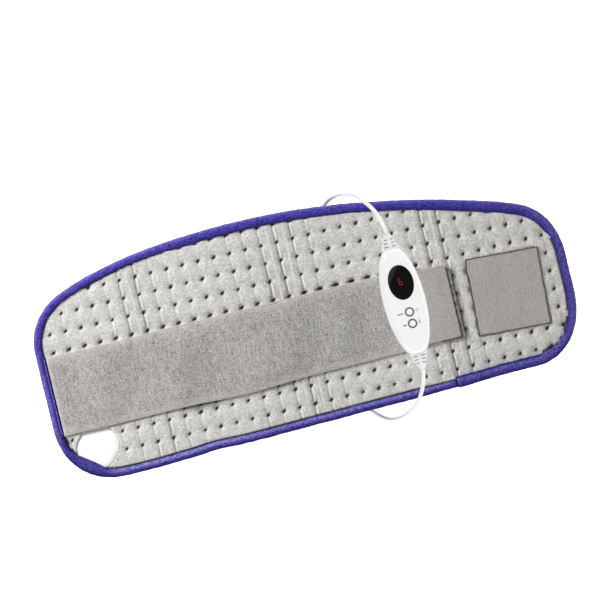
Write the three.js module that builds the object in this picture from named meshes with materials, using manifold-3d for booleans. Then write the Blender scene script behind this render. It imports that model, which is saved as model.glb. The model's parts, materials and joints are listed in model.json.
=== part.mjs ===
// Quilted heating belt with an in-line hand controller, laid on a table as it is put away.
// Millimetres, +Z up, +X along the belt towards its loop patch. The origin is on the table,
// under the middle of the belt's outline.
import * as THREE from 'three';
import { mergeVertices } from 'three/addons/utils/BufferGeometryUtils.js';
import Module from 'manifold-3d';

const wasm = await Module();
wasm.setup();

// Clearance between two pieces that bear on each other
const GAP = 0.3;

// Belt outline, seen from above
const BELT_LENGTH = 675;
const BELT_WIDTH = 276;
const BOTTOM_EDGE_RISE = 15; // how much higher the bottom edge ends at the right
const LEFT_END_TOP = 82; // where the top edge would meet the left end, above the middle line
const RIGHT_END_TOP = 60; // and the right end
const CREST_X = -40.5; // the widest place
const CREST_REACH_LEFT = 68; // how far the crest's curve runs level on each side
const CREST_REACH_RIGHT = 97;
const SLOPE_AIM_LEFT = 167; // how far from the crest each slope's line would reach its height
const SLOPE_AIM_RIGHT = 177;
const SLOPE_REACH_LEFT = 86.5; // how far the top edge follows each slope's line
const SLOPE_REACH_RIGHT = 94;
const CORNER_REACH = { // length of each corner's curve, on the side before it and after it
  bottomLeft: [80, 75.5],
  bottomRight: [66, 83.5],
  topRight: [54.5, 46.5],
  topLeft: [48, 43.5],
};
const CORNER_PULL = 0.6; // how squarely a corner's curve fills its corner
const OUTLINE_POINTS = 64;

// The belt stands in a low arch on its two ends
const ARCH_RISE = 24;
const ARCH_LANDING = 14; // flat length at each end
const ARCH_POWER = 1.25;

// Layers of the belt, from the table up
const BINDING_TAPE = 1.2; // thickness of the folded tape
const BINDING_LIP = 11; // width of the tape on either face
const BINDING_HEIGHT = 10.2;
const BINDING_ROUND = 3; // chamfer that stands for the rolled edge
const BACK_COVER_THICKNESS = 1.2;
const CARRIER_THICKNESS = 0.6;
const WIRE_DIAMETER = 1.8;
const WADDING_THICKNESS = 1.4;
const COVER_SPOT_THICKNESS = 0.9; // cover and its fill where a weld spot presses them flat
const COVER_PUFF_THICKNESS = 3.8; // and between the spots
const COVER_RIM_THICKNESS = 0.6; // and under the binding
const COVER_TUCK = 4.2; // the covers' edge, in from the outline
const CORE_TUCK = 17; // the same for the wadding and the element
const DRAW_IN = 30; // width over which the quilt swells up from its edge

// Weld spots of the quilt
const SPOT_PITCH_X = 20.25;
const SPOT_PITCH_Y = 23;
const SPOT_X = -151.5; // one spot that sets the grid
const SPOT_Y = 100.5;
const SPOT_MARGIN = 20; // no spot lies nearer to the edge

// Heating wire
const WIRE_RUNS = 6;
const WIRE_RUN_PITCH = 30;
const WIRE_END_MARGIN = 95; // from the belt's ends to the turns of the wire
const WIRE_LOWEST_RUN = 42; // lowest run, up from the bottom of the outline
const CUTOUT_SIZE = [14, 7, 1.8]; // thermal cut-out in its sleeve

// Elastic strap and its hook tab, and the loop patch
const STRAP_WIDTH = 100;
const STRAP_THICKNESS = 1.6;
const STRAP_Y = -23.5;
const TAB_LENGTH = 29.5;
const TAB_WIDTH = 93;
const TAB_THICKNESS = 1.2;
const TAB_Y = -21.5;
const HOOK_THICKNESS = 1;
const HOOK_START = 6; // from the fold to the hook strip under the tab
const HOOK_PAST_TAB = 5.5; // how far it shows past the tab's end and lower edge
const TAB_CLEAR = 4; // from the handset's side to the tab's fold
const TAB_FOLD_GAP = 0.5;
const PATCH_LENGTH = 93;
const PATCH_WIDTH = 98;
const PATCH_THICKNESS = 1.4;
const PATCH_Y = -27.5;
const PATCH_FROM_END = 34.5;

// Round cord inlet in the belt's lower left corner
const INLET_FROM_END = 51;
const INLET_FROM_BOTTOM = 41.5;
const WINDOW_RADIUS = 26; // hole in the quilt that shows the inlet
const INLET_FLANGE = 3; // hidden rim beyond that hole
const INLET_COVER_THICKNESS = 2;
const INLET_BASE_RADIUS = 20; // cup that hangs through the back cover
const INLET_WALL = 1.4;
const INLET_TABLE_GAP = 0.5;
const INLET_RELIEF_LENGTH = 24;
const INLET_RELIEF_HALF = [5, 3]; // half width and half height at its root
const INLET_BLOCK = [12, 9, 3]; // terminal block

// Handset shell
const HANDSET_FROM_END = 211.2; // from the belt's right end to the handset's middle
const HANDSET_Y = -8.6;
const HANDSET_YAW = 1.4; // degrees
const SHELL_HALF_WIDTH = 26.7;
const SHELL_HALF_LENGTH = 72.5; // of the full ellipse, before its ends are cut
const SHELL_CUT = 6.5; // cut off each end of that ellipse
const SHELL_END = SHELL_HALF_LENGTH - SHELL_CUT;
const SHELL_HEIGHT = 24;
const SHELL_SPLIT = 10; // height of the parting line
const SHELL_WALL = 2;
const SHELL_SIDE_POINTS = 9;
const BASE_ROUND = 3.5;
const TOP_ROUND = 7;
const SLOT_HALF = [6, 4]; // slot for a strain relief in each end, half width and half height

// Strain reliefs of the handset
const RELIEF_LENGTH = 20;
const RELIEF_ROOT = [11, 7]; // half width and half height
const RELIEF_TIP = [4.2, 4];
const RELIEF_FLANGE = [8, 5, 3]; // half width, half height and length inside the shell

// Display, buttons and board
const WINDOW_OVAL = [15.6, 21.8]; // half sizes of the display window
const WINDOW_U = 0.5;
const WINDOW_V = 23.6;
const WINDOW_RIM = 0.6; // hidden rim under the shell
const WINDOW_PROUD = 0.4;
const BUTTON_U = 1.4;
const BUTTON_V = [-14.4, -29.2]; // power, mode
const BUTTON_RADIUS = 3.9;
const BUTTON_PROUD = 0.9;
const BUTTON_FLANGE = 1.4;
const BUTTON_STEM = 1.5;
const BUTTON_TRAVEL = 0.8;
const RING_WIDTH = 1.6;
const RING_THICKNESS = 0.9;
const RING_PROUD = 0.3;
const PLATE_THICKNESS = 1.2; // of the window's rim and the buttons' flange
const SCREW_FROM_END = 12; // from the shell's end to the screw
const SCREW_V = SHELL_END - SCREW_FROM_END;
const SCREW_SHANK = 1.15;
const SCREW_HEAD = [2.6, 1.8]; // radius and height
const SCREW_LENGTH = 14;
const SCREW_BOSS = 4.2;
const BOARD_UNDERSIDE = 7;
const BOARD_THICKNESS = 1.6;
const BOARD_EDGE = 6; // board's edge, in from the shell's outline
const BOARD_FROM_SCREW = 6; // from the screw to the board's end
const BOARD_END = SCREW_V - BOARD_FROM_SCREW;
const BOARD_POSTS = [12, 36];
const BOARD_POST_RADIUS = 2.2;
const SWITCH_BODY = [6, 6, 3.5];
const SWITCH_PLUNGER = 1.7;
const DIGIT_MODULE = [13, 19, 8];
const TRIAC = [4.6, 10, 8];
const TRIAC_AT = [-13, -6];
const CAPACITOR = [6, 16, 9];
const CAPACITOR_AT = [14, -14];
const FUSE_RADIUS = 2.6;
const FUSE_LENGTH = 18;
const FUSE_AT = [-13, -26];
const TERMINAL = [12, 8, 7];
const TERMINAL_INWARD = 0.45; // from the middle of the room between the digit module and the screw boss
const TERMINAL_V = (WINDOW_V + DIGIT_MODULE[1] / 2 + SCREW_V - SCREW_BOSS) / 2 - TERMINAL_INWARD;
const TERMINAL_U = -2;

// Cords
const CORD_DIAMETER = 5;
const CORD_SIDES = 8;
const COIL_SIDES = 6;
const COIL_STEPS = 24; // in one loop
const COIL_LOOPS = 3.5; // in each of its two layers
const COIL_PITCH = 5.6; // between loops, and between layers
const COIL_INNER_RADIUS = 21.5;
const COIL_CENTRE = [-20, 25];
const COIL_START_ANGLE = 127; // degrees, where the lead runs on to the coil
const TIE_THICKNESS = 0.8;
const TIE_WIDTH = 12;
const TIE_ANGLE = 217; // degrees round the coil
const TIE_SLACK = 1.6;

// Two-pin plug lying on the table
const PLUG_ENTRY = [74, 27]; // the thin end of its strain relief
const PLUG_RELIEF_LENGTH = 20;
const PLUG_LENGTH = 35;
const PLUG_HALF_WIDTH = 17.6;
const PLUG_HALF_HEIGHT = 6.9;
const PLUG_NECK = [9, 6]; // half width and half height where the relief joins
const PIN_RADIUS = 2;
const PIN_LENGTH = 19;
const PIN_SPACING = 18.6;
const PIN_SEAT = 3; // depth of the pins' sockets

const HALF_LENGTH = BELT_LENGTH / 2;
const HALF_WIDTH = BELT_WIDTH / 2;
const INLET_X = -HALF_LENGTH + INLET_FROM_END;
const INLET_Y = -HALF_WIDTH + INLET_FROM_BOTTOM;
const HANDSET_X = HALF_LENGTH - HANDSET_FROM_END;
const STRAP_START = -HALF_LENGTH + BINDING_LIP + 4 * GAP;
const TAB_FOLD_X = HANDSET_X + SHELL_HALF_WIDTH + TAB_CLEAR;
const PATCH_RIGHT = HALF_LENGTH - PATCH_FROM_END;
const CORD_RADIUS = CORD_DIAMETER / 2;
const AXIS_X = new THREE.Vector3(1, 0, 0);
const AXIS_Y = new THREE.Vector3(0, 1, 0);
const AXIS_Z = new THREE.Vector3(0, 0, 1);

// Heights of the layers above the arch
const BACK_BOTTOM = BINDING_TAPE + 2 * GAP;
const CARRIER_BOTTOM = BACK_BOTTOM + BACK_COVER_THICKNESS + GAP;
const WIRE_BOTTOM = CARRIER_BOTTOM + CARRIER_THICKNESS + GAP;
const WADDING_BOTTOM = WIRE_BOTTOM + WIRE_DIAMETER + GAP;
const COVER_BOTTOM = WADDING_BOTTOM + WADDING_THICKNESS + GAP;
const COVER_RIM = COVER_BOTTOM + COVER_RIM_THICKNESS;
const COVER_SPOT = COVER_BOTTOM + COVER_SPOT_THICKNESS;
const COVER_PUFF = COVER_BOTTOM + COVER_PUFF_THICKNESS;
const BINDING_TOP = Math.max(BINDING_HEIGHT, COVER_RIM + GAP + BINDING_TAPE);

// Height of the belt's underside over the table
function arch(x) {
  const reach = HALF_LENGTH - ARCH_LANDING;
  return ARCH_RISE * Math.max(0, 1 - (x / reach) ** 2) ** ARCH_POWER;
}

function slopeOfArch(x) {
  const step = 1;
  return (arch(x + step) - arch(x - step)) / (2 * step);
}

function ease(t) {
  const s = THREE.MathUtils.clamp(t, 0, 1);
  return s * s * (3 - 2 * s);
}

// Solids: closed geometry, and joins and cuts of it

function closed(positions, index) {
  let volume = 0;
  const at = (i) => new THREE.Vector3().fromArray(positions, 3 * i);
  for (let i = 0; i < index.length; i += 3) {
    volume += at(index[i]).dot(at(index[i + 1]).cross(at(index[i + 2])));
  }
  const geometry = new THREE.BufferGeometry();
  geometry.setAttribute('position', new THREE.Float32BufferAttribute(positions, 3));
  geometry.setIndex(volume < 0 ? index.slice().reverse() : index);
  return geometry;
}

// A skin over rings of points, closed at both ends, or on itself if it is a loop
function loft(rings, isLoop = false) {
  const count = rings[0].length;
  const positions = rings.flat().flatMap((p) => [p.x, p.y, p.z]);
  const index = [];
  const last = isLoop ? rings.length : rings.length - 1;
  for (let r = 0; r < last; r++) {
    const here = r * count;
    const next = ((r + 1) % rings.length) * count;
    for (let i = 0; i < count; i++) {
      const j = (i + 1) % count;
      index.push(here + i, here + j, next + j, here + i, next + j, next + i);
    }
  }
  if (!isLoop) {
    const top = (rings.length - 1) * count;
    for (let i = 1; i < count - 1; i++) {
      index.push(0, i + 1, i, top, top + i, top + i + 1);
    }
  }
  return closed(positions, index);
}

function toSolid(geometry) {
  const bare = geometry.clone();
  bare.deleteAttribute('normal');
  bare.deleteAttribute('uv');
  const merged = mergeVertices(bare, 1e-4);
  return new wasm.Manifold(new wasm.Mesh({
    numProp: 3,
    vertProperties: merged.attributes.position.array,
    triVerts: new Uint32Array(merged.index.array),
  }));
}

function toGeometry(solid) {
  const mesh = solid.getMesh();
  return new THREE.BufferGeometry()
    .setAttribute('position', new THREE.Float32BufferAttribute(mesh.vertProperties, 3))
    .setIndex(Array.from(mesh.triVerts));
}

function join(first, ...others) {
  return toGeometry(others.reduce((sum, other) => sum.add(toSolid(other)), toSolid(first)));
}

function cut(first, ...others) {
  return toGeometry(others.reduce((rest, other) => rest.subtract(toSolid(other)), toSolid(first)));
}

function common(first, second) {
  return toGeometry(toSolid(first).intersect(toSolid(second)));
}

// A round post along Z, or an oval one with two radii
function post([x, y], radius, low, high, sides = 16, radiusAlongY = radius) {
  return new THREE.CylinderGeometry(1, 1, high - low, sides)
    .rotateX(Math.PI / 2)
    .scale(radius, radiusAlongY, 1)
    .translate(x, y, (low + high) / 2);
}

function block([x, y], [sizeX, sizeY, sizeZ], low) {
  return new THREE.BoxGeometry(sizeX, sizeY, sizeZ).translate(x, y, low + sizeZ / 2);
}

// A rounded oblong section in the plane of two directions
function oblong(centre, across, up, [halfWidth, halfHeight], sides = 16, squareness = 0.6) {
  const bulge = (value) => Math.sign(value) * Math.abs(value) ** squareness;
  return Array.from({ length: sides }, (_, i) => {
    const angle = ((i + 0.5) / sides) * 2 * Math.PI;
    return centre.clone()
      .addScaledVector(across, halfWidth * bulge(Math.cos(angle)))
      .addScaledVector(up, halfHeight * bulge(Math.sin(angle)));
  });
}

// A tube whose rings stand on the given points
function tubeThrough(points, radius, sides) {
  const tangentAt = (i) => points[Math.min(i + 1, points.length - 1)].clone()
    .sub(points[Math.max(i - 1, 0)]).normalize();
  let normal = new THREE.Vector3(0, 0, 1);
  return loft(points.map((point, i) => {
    const tangent = tangentAt(i);
    normal = normal.clone().addScaledVector(tangent, -normal.dot(tangent)).normalize();
    const binormal = tangent.clone().cross(normal);
    return Array.from({ length: sides }, (_, k) => {
      const angle = (k / sides) * 2 * Math.PI;
      return point.clone()
        .addScaledVector(normal, radius * Math.cos(angle))
        .addScaledVector(binormal, radius * Math.sin(angle));
    });
  }));
}

// A cord along a smooth curve through hand-picked points
function cordThrough(points) {
  const route = points.map((point) => new THREE.Vector3(...point));
  const curve = new THREE.CatmullRomCurve3(route, false, 'centripetal');
  const section = new THREE.Shape(Array.from({ length: CORD_SIDES }, (_, k) => {
    const angle = (k / CORD_SIDES) * 2 * Math.PI;
    return new THREE.Vector2(Math.cos(angle), Math.sin(angle)).multiplyScalar(CORD_RADIUS);
  }));
  const steps = Math.ceil(curve.getLength() / (2.4 * CORD_DIAMETER));
  return new THREE.ExtrudeGeometry(section, { steps, extrudePath: curve, bevelEnabled: false });
}

// Scene graph: the belt's own group, the tilted handset's and the cords'

const part = new THREE.Group();
const belt = new THREE.Group();
const handset = new THREE.Group();
const cords = new THREE.Group();
part.add(belt, handset, cords);

function add(parent, name, geometry, [color, roughness, metalness = 0]) {
  const mesh = new THREE.Mesh(geometry, new THREE.MeshStandardMaterial({ color, roughness, metalness }));
  mesh.name = name;
  parent.add(mesh);
  return mesh;
}

const FLEECE = [0xcdccc6, 0.95];
const TAPE = [0x3a3191, 0.85];
const WEBBING = [0xa9a5a0, 0.9];
const FELT = [0xe8e4da, 0.95];
const WHITE_SHELL = [0xf4f4f2, 0.35];
const WHITE_SOFT = [0xf2f2f0, 0.5];
const BLACK_LENS = [0x0c0a0a, 0.1];
const GREY_RING = [0x7d7b79, 0.4];
const BOARD_GREEN = [0x2c6b3f, 0.6];
const BLACK_PART = [0x1c1c1e, 0.5];
const STEEL = [0xb8bac0, 0.3, 1];

// Belt outline

const OUTLINE_EDGE = beltOutline();

function beltOutline() {
  const bottomLeft = new THREE.Vector2(-HALF_LENGTH, -HALF_WIDTH);
  const bottomRight = new THREE.Vector2(HALF_LENGTH, -HALF_WIDTH + BOTTOM_EDGE_RISE);
  const topRight = new THREE.Vector2(HALF_LENGTH, RIGHT_END_TOP);
  const topLeft = new THREE.Vector2(-HALF_LENGTH, LEFT_END_TOP);
  const crest = new THREE.Vector2(CREST_X, HALF_WIDTH);
  const towards = (from, to, distance) => to.clone().sub(from).setLength(distance).add(from);
  const shape = new THREE.Shape();
  const round = (start, corner, end) => {
    const first = start.clone().lerp(corner, CORNER_PULL);
    const second = end.clone().lerp(corner, CORNER_PULL);
    shape.bezierCurveTo(first.x, first.y, second.x, second.y, end.x, end.y);
  };
  const leftDown = towards(bottomLeft, topLeft, CORNER_REACH.bottomLeft[0]);
  const bottomStart = towards(bottomLeft, bottomRight, CORNER_REACH.bottomLeft[1]);
  const bottomEnd = towards(bottomRight, bottomLeft, CORNER_REACH.bottomRight[0]);
  const rightStart = towards(bottomRight, topRight, CORNER_REACH.bottomRight[1]);
  const rightEnd = towards(topRight, bottomRight, CORNER_REACH.topRight[0]);
  const aimRight = new THREE.Vector2(crest.x + SLOPE_AIM_RIGHT, crest.y);
  const aimLeft = new THREE.Vector2(crest.x - SLOPE_AIM_LEFT, crest.y);
  const topStart = towards(topRight, aimRight, CORNER_REACH.topRight[1]);
  const topEnd = towards(topLeft, aimLeft, CORNER_REACH.topLeft[0]);
  const leftStart = towards(topLeft, bottomLeft, CORNER_REACH.topLeft[1]);
  shape.moveTo(leftDown.x, leftDown.y);
  round(leftDown, bottomLeft, bottomStart);
  shape.lineTo(bottomEnd.x, bottomEnd.y);
  round(bottomEnd, bottomRight, rightStart);
  shape.lineTo(rightEnd.x, rightEnd.y);
  round(rightEnd, topRight, topStart);
  const slopeRight = topStart.clone().sub(topRight).setLength(SLOPE_REACH_RIGHT).add(topStart);
  shape.bezierCurveTo(slopeRight.x, slopeRight.y, crest.x + CREST_REACH_RIGHT, crest.y, crest.x, crest.y);
  const slopeLeft = topEnd.clone().sub(topLeft).setLength(SLOPE_REACH_LEFT).add(topEnd);
  shape.bezierCurveTo(crest.x - CREST_REACH_LEFT, crest.y, slopeLeft.x, slopeLeft.y, topEnd.x, topEnd.y);
  round(topEnd, topLeft, leftStart);
  shape.closePath();
  const points = shape.getSpacedPoints(OUTLINE_POINTS).slice(0, -1);
  const box = new THREE.Box2().setFromPoints(points);
  const stretch = new THREE.Vector2(BELT_LENGTH, BELT_WIDTH).divide(box.getSize(new THREE.Vector2()));
  const middle = box.getCenter(new THREE.Vector2());
  return points.map((point) => point.sub(middle).multiply(stretch));
}

// The outline, moved in by a distance
function insetOutline(inset) {
  return OUTLINE_EDGE.map((point, i) => {
    const before = OUTLINE_EDGE.at(i - 1);
    const after = OUTLINE_EDGE[(i + 1) % OUTLINE_EDGE.length];
    const along = after.clone().sub(before).normalize();
    return new THREE.Vector2(point.x - along.y * inset, point.y + along.x * inset);
  });
}

// How far a point lies inside the outline, less than nothing outside it
function depthInside(x, y) {
  let nearest = Infinity;
  let crossings = 0;
  OUTLINE_EDGE.forEach((a, i) => {
    const b = OUTLINE_EDGE[(i + 1) % OUTLINE_EDGE.length];
    const along = b.clone().sub(a);
    const t = THREE.MathUtils.clamp(((x - a.x) * along.x + (y - a.y) * along.y) / along.lengthSq(), 0, 1);
    nearest = Math.min(nearest, Math.hypot(x - a.x - along.x * t, y - a.y - along.y * t));
    if ((a.y > y) !== (b.y > y) && x < a.x + (along.x * (y - a.y)) / along.y) crossings += 1;
  });
  return crossings % 2 ? nearest : -nearest;
}

// A ring round the outline: its section is a list of [distance in, height above the arch]
function ringRound(section) {
  const insets = new Map(section.map(([inset]) => [inset, insetOutline(inset)]));
  return loft(OUTLINE_EDGE.map((_, i) => section.map(([inset, height]) => {
    const point = insets.get(inset)[i];
    return new THREE.Vector3(point.x, point.y, arch(point.x) + height);
  })), true);
}

function prism(points, low, high) {
  return new THREE.ExtrudeGeometry(new THREE.Shape(points), { depth: high - low, bevelEnabled: false })
    .translate(0, 0, low);
}

// A band along X that follows heights given as functions of x
function band(stations, [front, back], lowAt, highAt) {
  return loft(stations.map((x) => [
    new THREE.Vector3(x, front, lowAt(x)),
    new THREE.Vector3(x, back, lowAt(x)),
    new THREE.Vector3(x, back, highAt(x)),
    new THREE.Vector3(x, front, highAt(x)),
  ]));
}

// Quilt grid: columns and rows of cells, each with a weld spot in its middle
const CELL_X = gridLines(SPOT_X, SPOT_PITCH_X, HALF_LENGTH);
const CELL_Y = gridLines(SPOT_Y, SPOT_PITCH_Y, HALF_WIDTH);

function gridLines(spot, pitch, half) {
  const first = Math.floor((-half - spot) / pitch - 0.5);
  const last = Math.ceil((half - spot) / pitch + 0.5);
  return Array.from({ length: last - first + 1 }, (_, i) => spot + (first + i - 0.5) * pitch);
}

function puffHeight(depth) {
  return COVER_RIM + (COVER_PUFF - COVER_RIM) * ease(depth / DRAW_IN);
}

// Height of the quilt's crest along the belt, straight between the cell lines as the cover is
function crestAt(x) {
  const crest = (at) => arch(at) + puffHeight(HALF_LENGTH - Math.abs(at));
  const i = CELL_X.findIndex((line) => line > x);
  const [left, right] = [CELL_X[i - 1], CELL_X[i]];
  return THREE.MathUtils.mapLinear(x, left, right, crest(left), crest(right));
}

// Cell lines between two places, with the two places themselves
function stationsBetween(from, to, margin = 1) {
  return [from, ...CELL_X.filter((x) => x > from + margin && x < to - margin), to];
}

// Back cover, heating element and wadding

// The arch bends most near its ends, so a layer has half as many stations between them
const LAYER_X = CELL_X.filter((x, i) => i % 2 === 0 || Math.abs(x) > 0.7 * HALF_LENGTH);

function layer(inset, low, thickness) {
  const slab = band(
    LAYER_X,
    [-BELT_WIDTH, BELT_WIDTH],
    (x) => arch(x) + low,
    (x) => arch(x) + low + thickness,
  );
  return common(slab, prism(insetOutline(inset), -BELT_WIDTH, BELT_WIDTH));
}

// Puts a shape made about the origin on the belt's slope at the inlet
const inletRise = arch(INLET_X + WINDOW_RADIUS) - arch(INLET_X - WINDOW_RADIUS);
const INLET_TILT = -Math.atan(inletRise / (2 * WINDOW_RADIUS));
const atInlet = (geometry) => geometry.rotateY(INLET_TILT).translate(INLET_X, INLET_Y, arch(INLET_X));
const throughBelt = (radius) => atInlet(post([0, 0], radius, -ARCH_RISE, 2 * ARCH_RISE, 24));
const INLET_RIM = WINDOW_RADIUS + INLET_FLANGE;

add(belt, 'back_cover', cut(
  layer(COVER_TUCK, BACK_BOTTOM, BACK_COVER_THICKNESS),
  throughBelt(INLET_BASE_RADIUS + 2 * GAP),
), FLEECE);
add(belt, 'element_carrier', cut(
  layer(CORE_TUCK, CARRIER_BOTTOM, CARRIER_THICKNESS),
  throughBelt(INLET_RIM + 2 * GAP),
), FELT);
add(belt, 'wadding', cut(
  layer(CORE_TUCK, WADDING_BOTTOM, WADDING_THICKNESS),
  throughBelt(INLET_RIM + 2 * GAP),
), FELT);
add(belt, 'heating_wire', tubeThrough(wireRoute(), WIRE_DIAMETER / 2, 5), [0xb5532d, 0.6]);

// The wire leaves the inlet, runs to and fro along the belt and comes back to the inlet
function wireRoute() {
  const height = WIRE_BOTTOM + WIRE_DIAMETER / 2;
  const left = -HALF_LENGTH + WIRE_END_MARGIN;
  const right = HALF_LENGTH - WIRE_END_MARGIN;
  const turn = WIRE_RUN_PITCH / 2;
  const plan = [[INLET_X + INLET_RIM + 3 * GAP, INLET_Y]];
  const stepsAlong = 8;
  const stepsRound = 6;
  const bottom = -HALF_WIDTH + WIRE_LOWEST_RUN;
  for (let run = 0; run < WIRE_RUNS; run++) {
    const forward = run % 2 === 0;
    const y = bottom + run * WIRE_RUN_PITCH;
    for (let i = 0; i <= stepsAlong; i++) {
      plan.push([THREE.MathUtils.lerp(left, right, forward ? i / stepsAlong : 1 - i / stepsAlong), y]);
    }
    for (let i = 1; i < stepsRound && run < WIRE_RUNS - 1; i++) {
      const angle = Math.PI * (i / stepsRound - 0.5);
      const out = turn * Math.cos(angle);
      plan.push([forward ? right + out : left - out, y + turn + turn * Math.sin(angle)]);
    }
  }
  const top = bottom + (WIRE_RUNS - 1) * WIRE_RUN_PITCH;
  const back = left - turn * 2;
  plan.push([left - turn, top - turn * 0.3]);
  plan.push([back, top - turn * 1.3]);
  plan.push([back - turn * 0.5, top - turn * 2.5]);
  plan.push([INLET_X, INLET_Y + INLET_RIM + WIRE_RUN_PITCH], [INLET_X, INLET_Y + INLET_RIM + 3 * GAP]);
  return plan.map(([x, y]) => new THREE.Vector3(x, y, arch(x) + height));
}

// Thermal cut-outs lie between two runs of the wire
const CUTOUTS = [['thermal_cutout_left', -HALF_LENGTH / 3], ['thermal_cutout_right', HALF_LENGTH / 3]];
CUTOUTS.forEach(([name, x]) => {
  const y = -HALF_WIDTH + WIRE_LOWEST_RUN + WIRE_RUN_PITCH * 1.5;
  const sleeve = block([0, 0], CUTOUT_SIZE, 0);
  const mesh = add(belt, name, sleeve, [0xd9c9a0, 0.6]);
  mesh.position.set(x, y, arch(x) + WIRE_BOTTOM);
  mesh.rotation.y = -Math.atan(slopeOfArch(x));
});

// Quilted cover: high along its cell lines, low at its weld spots, thin under the binding
add(belt, 'quilted_cover', cut(
  join(
    common(quiltBlock(), prism(insetOutline(BINDING_LIP + GAP), -BELT_WIDTH, BELT_WIDTH)),
    layer(COVER_TUCK, COVER_BOTTOM, COVER_RIM_THICKNESS),
  ),
  throughBelt(WINDOW_RADIUS),
), FLEECE);

// A cell that the strap or the loop patch hides is pressed flat
function liesUnderCloth(x, y) {
  const within = (low, high, value, pitch) => value - pitch / 2 > low && value + pitch / 2 < high;
  const strap = within(STRAP_START, TAB_FOLD_X, x, SPOT_PITCH_X)
    && within(STRAP_Y - STRAP_WIDTH / 2, STRAP_Y + STRAP_WIDTH / 2, y, SPOT_PITCH_Y);
  const patch = within(PATCH_RIGHT - PATCH_LENGTH, PATCH_RIGHT, x, SPOT_PITCH_X)
    && within(PATCH_Y - PATCH_WIDTH / 2, PATCH_Y + PATCH_WIDTH / 2, y, SPOT_PITCH_Y);
  return strap || patch;
}

function quiltBlock() {
  const columns = CELL_X.length;
  const rows = CELL_Y.length;
  const positions = [];
  const index = [];
  const put = (x, y, z) => positions.push(x, y, z) / 3 - 1;
  const top = CELL_X.map((x) => CELL_Y.map((y) => put(x, y, arch(x) + puffHeight(depthInside(x, y)))));
  const sunk = COVER_BOTTOM + COVER_RIM_THICKNESS / 2;
  const bottom = CELL_X.map((x) => CELL_Y.map((y) => put(x, y, arch(x) + sunk)));
  for (let i = 0; i < columns - 1; i++) {
    for (let j = 0; j < rows - 1; j++) {
      const x = (CELL_X[i] + CELL_X[i + 1]) / 2;
      const y = (CELL_Y[j] + CELL_Y[j + 1]) / 2;
      const [a, b, c, d] = [top[i][j], top[i + 1][j], top[i + 1][j + 1], top[i][j + 1]];
      if (depthInside(x, y) < SPOT_MARGIN || liesUnderCloth(x, y)) {
        index.push(a, b, c, a, c, d);
      } else {
        const spot = put(x, y, arch(x) + COVER_SPOT);
        index.push(a, b, spot, b, c, spot, c, d, spot, d, a, spot);
      }
      index.push(bottom[i][j], bottom[i][j + 1], bottom[i + 1][j + 1]);
      index.push(bottom[i][j], bottom[i + 1][j + 1], bottom[i + 1][j]);
    }
  }
  const wall = (a, b, c, d) => index.push(a, b, c, a, c, d);
  for (let i = 0; i < columns - 1; i++) {
    wall(bottom[i][0], bottom[i + 1][0], top[i + 1][0], top[i][0]);
    wall(bottom[i + 1].at(-1), bottom[i].at(-1), top[i].at(-1), top[i + 1].at(-1));
  }
  for (let j = 0; j < rows - 1; j++) {
    wall(bottom[0][j + 1], bottom[0][j], top[0][j], top[0][j + 1]);
    wall(bottom.at(-1)[j], bottom.at(-1)[j + 1], top.at(-1)[j + 1], top.at(-1)[j]);
  }
  return closed(positions, index);
}

// Edge binding: one tape folded over the edge of all the layers
add(belt, 'edge_binding', ringRound([
  [BINDING_LIP, 0],
  [BINDING_ROUND, 0],
  [0, BINDING_ROUND],
  [0, BINDING_TOP - BINDING_ROUND],
  [BINDING_ROUND, BINDING_TOP],
  [BINDING_LIP, BINDING_TOP],
  [BINDING_LIP, BINDING_TOP - BINDING_TAPE],
  [BINDING_ROUND + GAP, BINDING_TOP - BINDING_TAPE],
  [BINDING_TAPE + GAP, BINDING_TOP - BINDING_ROUND],
  [BINDING_TAPE + GAP, BINDING_ROUND],
  [BINDING_ROUND + GAP, BINDING_TAPE],
  [BINDING_LIP, BINDING_TAPE],
]), TAPE);

// Elastic strap, sewn in at the left, with its hook tab, and the loop patch
// A flat piece of cloth that lies on the quilt, or on another at a height above it
function clothOn(from, to, middle, width, thickness, above = 0) {
  return band(
    stationsBetween(from, to),
    [middle - width / 2, middle + width / 2],
    (x) => crestAt(x) + GAP + above,
    (x) => crestAt(x) + GAP + above + thickness,
  );
}

add(belt, 'elastic_strap',
  clothOn(STRAP_START, TAB_FOLD_X - TAB_FOLD_GAP / 2, STRAP_Y, STRAP_WIDTH, STRAP_THICKNESS), WEBBING);
const TAB_END = TAB_FOLD_X + TAB_LENGTH;
add(belt, 'hook_strip', clothOn(
  TAB_FOLD_X + HOOK_START,
  TAB_END + HOOK_PAST_TAB,
  TAB_Y - HOOK_PAST_TAB / 2,
  TAB_WIDTH,
  HOOK_THICKNESS,
), [0x6f6c5c, 0.95]);
add(belt, 'strap_tab', clothOn(
  TAB_FOLD_X + TAB_FOLD_GAP / 2,
  TAB_END,
  TAB_Y,
  TAB_WIDTH,
  TAB_THICKNESS,
  HOOK_THICKNESS + GAP,
), WEBBING);
add(belt, 'loop_patch',
  clothOn(PATCH_RIGHT - PATCH_LENGTH, PATCH_RIGHT, PATCH_Y, PATCH_WIDTH, PATCH_THICKNESS), WEBBING);

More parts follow.
